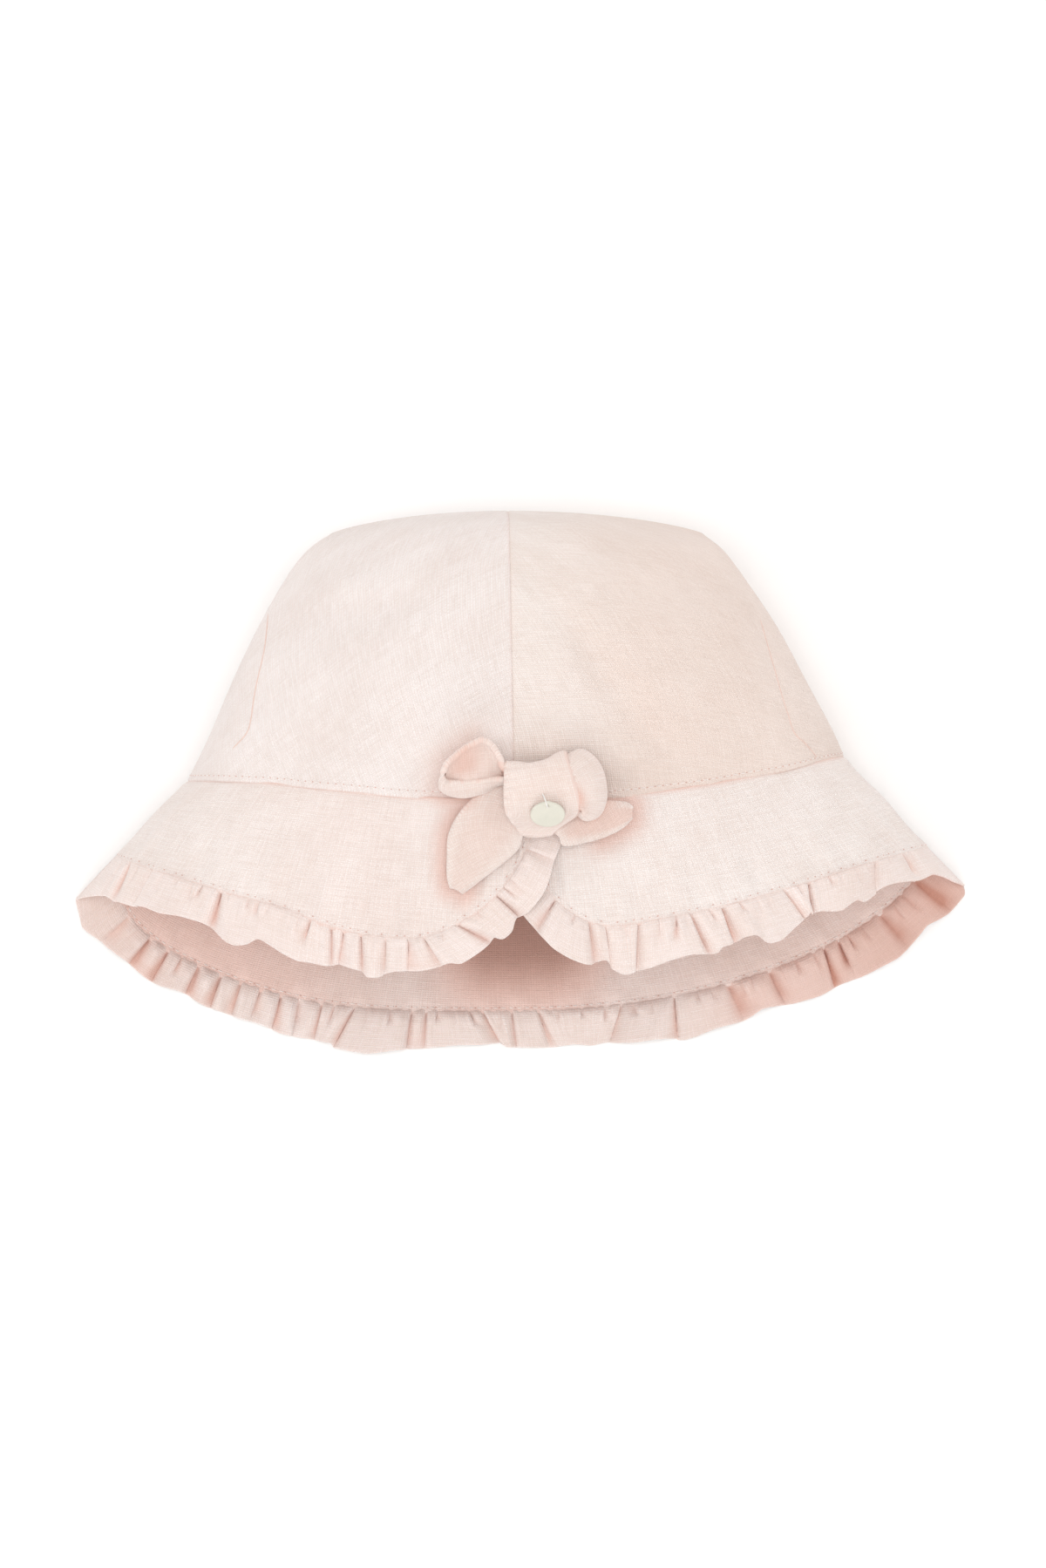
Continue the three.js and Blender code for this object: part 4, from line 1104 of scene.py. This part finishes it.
def spot(across, along, at, size):
    # a soft spot on a ribbon, with its place and its half widths across and along
    return bell(across - at[0], size[0]) * bell(along - at[1], size[1])


def evenShade(amount):
    return lambda offsets, shares: amount


tailRibbon = {
    "ring": False, "columns": 200, "linen": tailLinenShaded,
    "full": 0.8, "hollow": 0.8, "hollowAt": (-0.45, 0.24), "hollowSize": (0.4, 0.14),
    "unevenness": 0.12, "waves": (31, 5, 5, 11),
    "shadeEdge": 0.02, "edgeSpan": (0.5, 0.95), "shadeMiddle": 0.16,
    "shadeRight": 0.24, "rightSpan": (0.6, 0.75), "shadeInside": 0.12,
    "flat": (0.014, 0.062), "under": "brimPetals",
    "rows": [
        (-18.1, -29.6, 73.6, 1.1, -0.6, -0.1), (-16.9, -26.7, 73.9, 3.1, -1.2, -0.1),
        (-14.5, -22.1, 74.4, 5.5, -2.1, -0.2), (-11.8, -17, 75, 7.6, -3.5, -0.3),
        (-8.2, -11.9, 75.8, 7.2, -5.3, -0.4), (-4.2, -7.6, 76.4, 4.3, -6.9, -0.2),
        (-1.4, -5.6, 76.7, 2, -5.3, 0), (5, -5.2, 76.7, 0.4, -4.2, 0),
        (11.8, -9, 76.4, -0.6, -4.4, 0), (15, -10.8, 75.6, -2, -5.4, -0.2),
        (20.6, -10, 74.4, -1.4, -5.2, -0.3), (25.5, -9.3, 73.2, -1, -4.3, -0.2),
        (29.6, -8.3, 72.4, -0.6, -2.9, -0.1), (31.8, -7.6, 71.9, -0.2, -1, -0.1),
    ],
}


def tailShape(offsets, shares, grid):
    # pressed nearly flat, with a soft hollow behind its left edge
    cut = tailRibbon
    hollow = cut["hollow"] * spot(offsets, shares, cut["hollowAt"], cut["hollowSize"])
    return cut["full"] * (1 - offsets**4) - hollow


def tailShade(offsets, shares):
    # painted shade over its middle, less at its edges, which catch the light, and more on the right tail,
    # which lies lower, in the shade of its loop
    cut = tailRibbon
    inward = 1 - fade(np.abs(offsets), *cut["edgeSpan"])
    right = cut["shadeRight"] * fade(shares, *cut["rightSpan"])
    return cut["shadeEdge"] + (cut["shadeMiddle"] + right) * inward


ribbonPiece("bowTails", "bow_tails", tailRibbon, tailShape,
            tailShade, evenShade(tailRibbon["shadeInside"]))


loopRibbon = {
    "ring": True, "columns": 380, "linen": bowLinen,
    "full": 0.4, "pocket": (0.9, 0.4, 0.11), "pillow": (1.2, 0.78, 0.1),  # mm, share, half width
    "unevenness": 0.1, "waves": (33, 5, 4, 9),
    # painted shade, outside and inside
    "paintedShadeAndTint": 0.05, "shadeTurn": 0.6, "turnAt": (1, 0.8), "turnSize": (0.3, 0.05),
    "shadeInside": 0.12, "shadeWall": (0.5, 0.3, 0.06), "wallSpan": (-0.9, 0),
    "shadeEnd": (0.5, 0.5, 0.035), "shadeRight": 0.7, "rightSpan": (0.6, 0.66),
    "flat": (0.010, 0.100), "under": "bowTails",
    "rows": [
        (5, -1.6, 80.2, 0, 0.2, 2.3), (-4.2, 1.5, 80.2, 0, 0.4, 1.9),
        (-9.8, 0.2, 79, 0, 1.2, 1.2), (-15.1, -0.8, 78.5, -0.2, 1.7, 1.1),
        (-20, -0.4, 79.2, -0.6, 1.7, 1.7), (-22, 1.5, 80.4, 0.2, 1.6, 2.8),
        (-20.3, 3.6, 81.1, -0.5, 2.6, 2.9), (-16.7, 5.2, 81.6, -0.6, 4.4, 2.9),
        (-13.3, 6.4, 81.7, -0.4, 5.5, 2.9), (-10.5, 7.2, 81.7, -0.1, 6, 2.9),
        (-8, 6.4, 81.6, 0.2, 5, 2.7), (-5.8, 4.9, 81.3, 0.2, 3.1, 2.4),
        (-4.1, 3.8, 81, 0.1, 1.1, 2.1), (5, 2.8, 80.6, 0, 0.3, 2.2),
        (10.5, 5.2, 80.6, -0.4, -0.3, 2.1), (14.9, 8.6, 80.6, -1.1, -0.9, 2.2),
        (16.8, 7.4, 80.7, -2.6, -1.6, 3.5), (18.9, 4.1, 80.6, -3.4, -1.5, 4),
        (19.9, 0.7, 80.5, -3.9, -0.7, 4.1), (20.4, -2.9, 80.4, -3.6, -0.1, 4),
        (20.2, -6.2, 80.3, -2.8, 0.5, 3.7), (19, -8.2, 80.3, -1.1, 0.6, 3.1),
        (16.6, -6.6, 79.2, -0.3, 0.2, 1.6), (13.6, -3.2, 79.8, 0, 0.2, 1.9),
    ],
}


def loopShape(offsets, shares, grid):
    # the left loop sags into a pocket and the right one is puffed up like a pillow
    cut = loopRibbon
    puffed = cut["full"] + hump(shares, *cut["pocket"]) + hump(shares, *cut["pillow"])
    return puffed * (1 - offsets**2)


def loopShadeOutside(offsets, shares):
    # the right loop turns in beside the knot, where it is in shade
    cut = loopRibbon
    return cut["paintedShadeAndTint"] + cut["shadeTurn"] * spot(offsets, shares, cut["turnAt"], cut["turnSize"])


def loopShadeInside(offsets, shares):
    # the left loop's far wall and its end at the knot are in shade, and so is the right loop
    cut = loopRibbon
    farWall = hump(shares, *cut["shadeWall"]) * fade(offsets, *cut["wallSpan"])
    right = cut["shadeRight"] * fade(shares, *cut["rightSpan"])
    return cut["shadeInside"] + farWall + hump(shares, *cut["shadeEnd"]) + right


ribbonPiece("bowLoops", "bow_loops", loopRibbon, loopShape, loopShadeOutside, loopShadeInside)


knotRibbon = {
    "ring": True, "columns": 220, "linen": bowLinen,
    "full": 0.5, "notch": 3.1, "notchAt": (0.02, 0), "notchSize": (0.62, 0.09),
    "pleat": 0.18, "pleatTurns": 2.4, "pleatReach": 0.3,
    "unevenness": 0.1, "waves": (35, 5, 4, 10),
    "paintedShadeAndTint": 0.05, "shadeInside": 0.12,
    "flat": (0.015, 0.055), "under": "brimPetals",
    "rows": [
        (4.5, 8, 80.6, -8, -1.4, 0), (4.6, 6.3, 84.2, -8.2, -1.3, 0),
        (5.3, 1.4, 85.6, -9, -1.2, 0), (6.2, -4.2, 84.8, -9.8, -0.8, 0),
        (6.6, -7.8, 81.8, -9.4, -0.4, 0), (5, -11.3, 78.6, -5.6, 0.1, 0),
        (4.9, -13.4, 76.4, -3.6, 0, 0), (5, -10.2, 74.2, -4.8, -0.2, 0),
        (5, -2, 73.8, -6.6, -0.6, 0), (5, 5.4, 74.6, -8, -1.2, 0),
    ],
}


def knotShape(offsets, shares, grid):
    # a fold pulls its top edge down in the middle, and small pleats run in from its left edge
    cut = knotRibbon
    notch = cut["notch"] * spot(offsets, np.minimum(shares, 1 - shares), cut["notchAt"], cut["notchSize"])
    wave = np.sin(grid[..., 1] * cut["pleatTurns"])
    pleats = cut["pleat"] * wave * bell(1 - offsets, cut["pleatReach"])
    return cut["full"] * (1 - offsets**4) - notch + pleats


ribbonPiece("bowKnot", "bow_knot", knotRibbon, knotShape,
            evenShade(knotRibbon["paintedShadeAndTint"]), evenShade(knotRibbon["shadeInside"]))


# Pearl disc on the knot, and the thread through its hole

pearlDisc = {
    "middle": np.array([7.9, -7.9, 85.2]), "tilt": math.radians(46),
    "radius": 4.9, "half": 0.6, "edge": 0.35, "hole": 0.6, "holeAt": 3.6,
    "dome": 0.12, "sides": 96, "rings": 14, "rimSteps": 5,
    "threadRadius": 0.24, "threadPoints": 60,
    "needleAt": (6.5, -2.3), "holeFromNeedle": (0, 0.6, 0.05), "holeWidth": 1.7,  # in thread radii
}


def onDisc(x, y, z):
    # a place in the disc's own axes, turned up onto the knot
    turn = pearlDisc["tilt"]
    point = np.stack(np.broadcast_arrays(x, y * math.cos(turn) - z * math.sin(turn),
                                         y * math.sin(turn) + z * math.cos(turn)), axis=-1)
    return pearlDisc["middle"] + point


def makeDisc():
    cut = pearlDisc
    swing = np.linspace(0, 2 * math.pi, cut["sides"], endpoint=False)[None]
    part = np.sin(np.linspace(0, math.pi / 2, cut["rings"]))[:, None]
    rim = cut["radius"] - cut["edge"]
    x = mix(cut["hole"], rim, part) * np.cos(swing)
    y = mix(cut["holeAt"] + cut["hole"] * np.sin(swing), rim * np.sin(swing), part)
    dome = cut["dome"] * (1 - (x**2 + y**2) / cut["radius"] ** 2)
    top = face(onDisc(x, y, cut["half"] - cut["dome"] + dome), x, y, 0)
    bottom = face(onDisc(x, y, -cut["half"]), x, y, 0)
    values, faces = clothWall(top, bottom, ring=True, rimSteps=cut["rimSteps"])
    piece = makePiece("pearlDisc", values, faces, [discPearl])
    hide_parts("pearl_disc")
    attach(piece, "root")


def makeDiscThread():
    # out of the disc's hole, over its rim and into the knot, pulled tight
    cut = pearlDisc
    up = np.array([0.0, 0, 1])
    start = np.array([[*cut["needleAt"], cut["middle"][2]]])
    needle = ontoCloth(start, up[None], surfaceTrees("bowKnot"))[0]
    radius = cut["threadRadius"]
    line = curveThrough([
        onDisc(0.1, cut["holeAt"] - 0.1, -0.4),
        onDisc(0.0, cut["holeAt"] + 0.05, cut["half"] + radius),
        onDisc(-0.3, cut["radius"] - 0.1, cut["half"] + radius),
        mix(onDisc(-0.5, cut["radius"] + 0.5, 0), needle, 0.5),
        needle + radius * up,
        needle - 4 * radius * up])
    laidLine("discThread", line(np.linspace(0, 1, cut["threadPoints"])), radius, whiteThread)
    # the dark dot where the thread goes into the knot: painted shade in the needle's hole
    hole = needle + np.array(cut["holeFromNeedle"])
    drop = np.stack([hole, hole - 0.5 * up, hole - up])
    laidLine("discNeedleHole", drop, cut["holeWidth"] * radius, needleHoleShade)


makeDisc()
makeDiscThread()


# Painted shade near the bow: the cloth under and beside it is painted pinker and darker, as light that
# passes between close layers of this cloth is warmed and dimmed by it.

paintedShadeNearBow = {
    "reach": 14, "fade": 4.4, "lowest": 50, "crown": 0.34, "brim": 0.55, "tails": 0.45,
    "bowMiddle": 4, "sideSpan": (12, 20), "above": 0.1,  # less painted shade above and below the bow
}


def outlineTree(*names):
    # the pieces as they are seen from above, laid flat
    places, faces = [], []
    for name in names:
        mesh = bpy.data.objects[name].data
        first = len(places)
        places += [(corner.co.x, corner.co.y, 0) for corner in mesh.vertices]
        faces += [[first + i for i in one.vertices] for one in mesh.polygons]
    return BVHTree.FromPolygons(places, faces)


def paintShadeUnder(name, amount, *others):
    mesh = bpy.data.objects[name].data
    tree = outlineTree(*others)
    values = np.zeros(len(mesh.vertices), np.float32)
    mesh.attributes["paintedShadeAndTint"].data.foreach_get("value", values)
    for i, corner in enumerate(mesh.vertices):
        if corner.co.z > paintedShadeNearBow["lowest"] * metre:
            gap = tree.find_nearest((corner.co.x, corner.co.y, 0), paintedShadeNearBow["reach"] * metre)[3]
            if gap is not None:
                aside = abs(corner.co.x / metre - paintedShadeNearBow["bowMiddle"])
                share = mix(paintedShadeNearBow["above"], 1, fade(aside, *paintedShadeNearBow["sideSpan"]))
                values[i] = max(values[i], amount * share * bell(gap / metre, paintedShadeNearBow["fade"]))
    mesh.attributes["paintedShadeAndTint"].data.foreach_set("value", values)


for name, kind in (("crownPanelLeft", "crown"), ("crownPanelRight", "crown"),
                   ("brimPetals", "brim"), ("gatheredFrill", "brim")):
    paintShadeUnder(name, paintedShadeNearBow[kind], "bowTails", "bowLoops", "bowKnot")
paintShadeUnder("bowTails", paintedShadeNearBow["tails"], "bowLoops", "bowKnot")
print("close layers tinted")


# Floor, light and camera

studio = {
    "floorSize": 8, "floorDrop": 0.2 * metre, "floorColour": "#fcfbfa",
    "skyStrength": 0.46,
    "lamps": [
        {"name": "topLight", "place": (0, 0, 2.4), "size": 1.3, "power": 19.6},
        {"name": "keyLight", "place": (-1.0, -0.1, 0.7), "size": 0.9, "power": 4.1},
        {"name": "sideLight", "place": (1.05, 0.1, 0.65), "size": 0.9, "power": 3.6},
        {"name": "lowLight", "place": (0.0, -1.1, 0.6), "size": 1.0, "power": 4.8},
        {"name": "backLight", "place": (0.0, 1.15, 0.7), "size": 1.0, "power": 4.2},
    ],
    "cameraPlace": (0.00045, 0.00006, 1.8), "sensor": 36,
    "photoRows": 1799, "pixelSize": 0.00026,  # m on the floor, from a baby's head size
}


def matPaint(name, colour, rollerSize=2, rollerHeight=0.05):
    # Matt white studio paint with a faint roller texture.
    material, tree = emptyMaterial(name)
    place = addNode(tree, "TexCoord").outputs["Object"]
    texture = addNode(tree, "TexNoise", {"Vector": place, "Scale": 1 / (rollerSize * metre)})
    bump = addNode(tree, "Bump", {"Height": texture, "Strength": 0.05, "Distance": rollerHeight * metre})
    addSurface(tree, {
        "Base Color": linear(colour), "Roughness": 0.95, "Specular IOR Level": 0.1, "Normal": bump})
    return material


half = studio["floorSize"] / 2
floorMesh = bpy.data.meshes.new("floor")
floorCorners = [(-half, -half, 0), (half, -half, 0), (half, half, 0), (-half, half, 0)]
floorMesh.from_pydata(floorCorners, [], [(0, 1, 2, 3)])
floorMesh.materials.append(matPaint("paintedFloor", studio["floorColour"]))
floor = bpy.data.objects.new("floor", floorMesh)
floor.location.z = -studio["floorDrop"]
bpy.context.scene.collection.objects.link(floor)

world = bpy.data.worlds.new("studioSky")
world.use_nodes = True
sky = world.node_tree.nodes["Background"]
sky.inputs["Color"].default_value = (1, 1, 1, 1)
sky.inputs["Strength"].default_value = studio["skyStrength"]
bpy.context.scene.world = world

for lamp in studio["lamps"]:
    light = bpy.data.lights.new(lamp["name"], "AREA")
    light.size = lamp["size"]
    light.energy = lamp["power"]
    stand = bpy.data.objects.new(lamp["name"], light)
    stand.location = lamp["place"]
    stand.rotation_euler = (-stand.location).to_track_quat("-Z", "Y").to_euler()
    bpy.context.scene.collection.objects.link(stand)

lens = bpy.data.cameras.new("camera")
lens.sensor_width = studio["sensor"]
lens.lens = studio["sensor"] * studio["cameraPlace"][2] / (studio["photoRows"] * studio["pixelSize"])
camera = bpy.data.objects.new("camera", lens)
camera.location = studio["cameraPlace"]
bpy.context.scene.collection.objects.link(camera)
bpy.context.scene.camera = camera
bpy.context.scene.view_settings.view_transform = "Standard"
print("studio set")
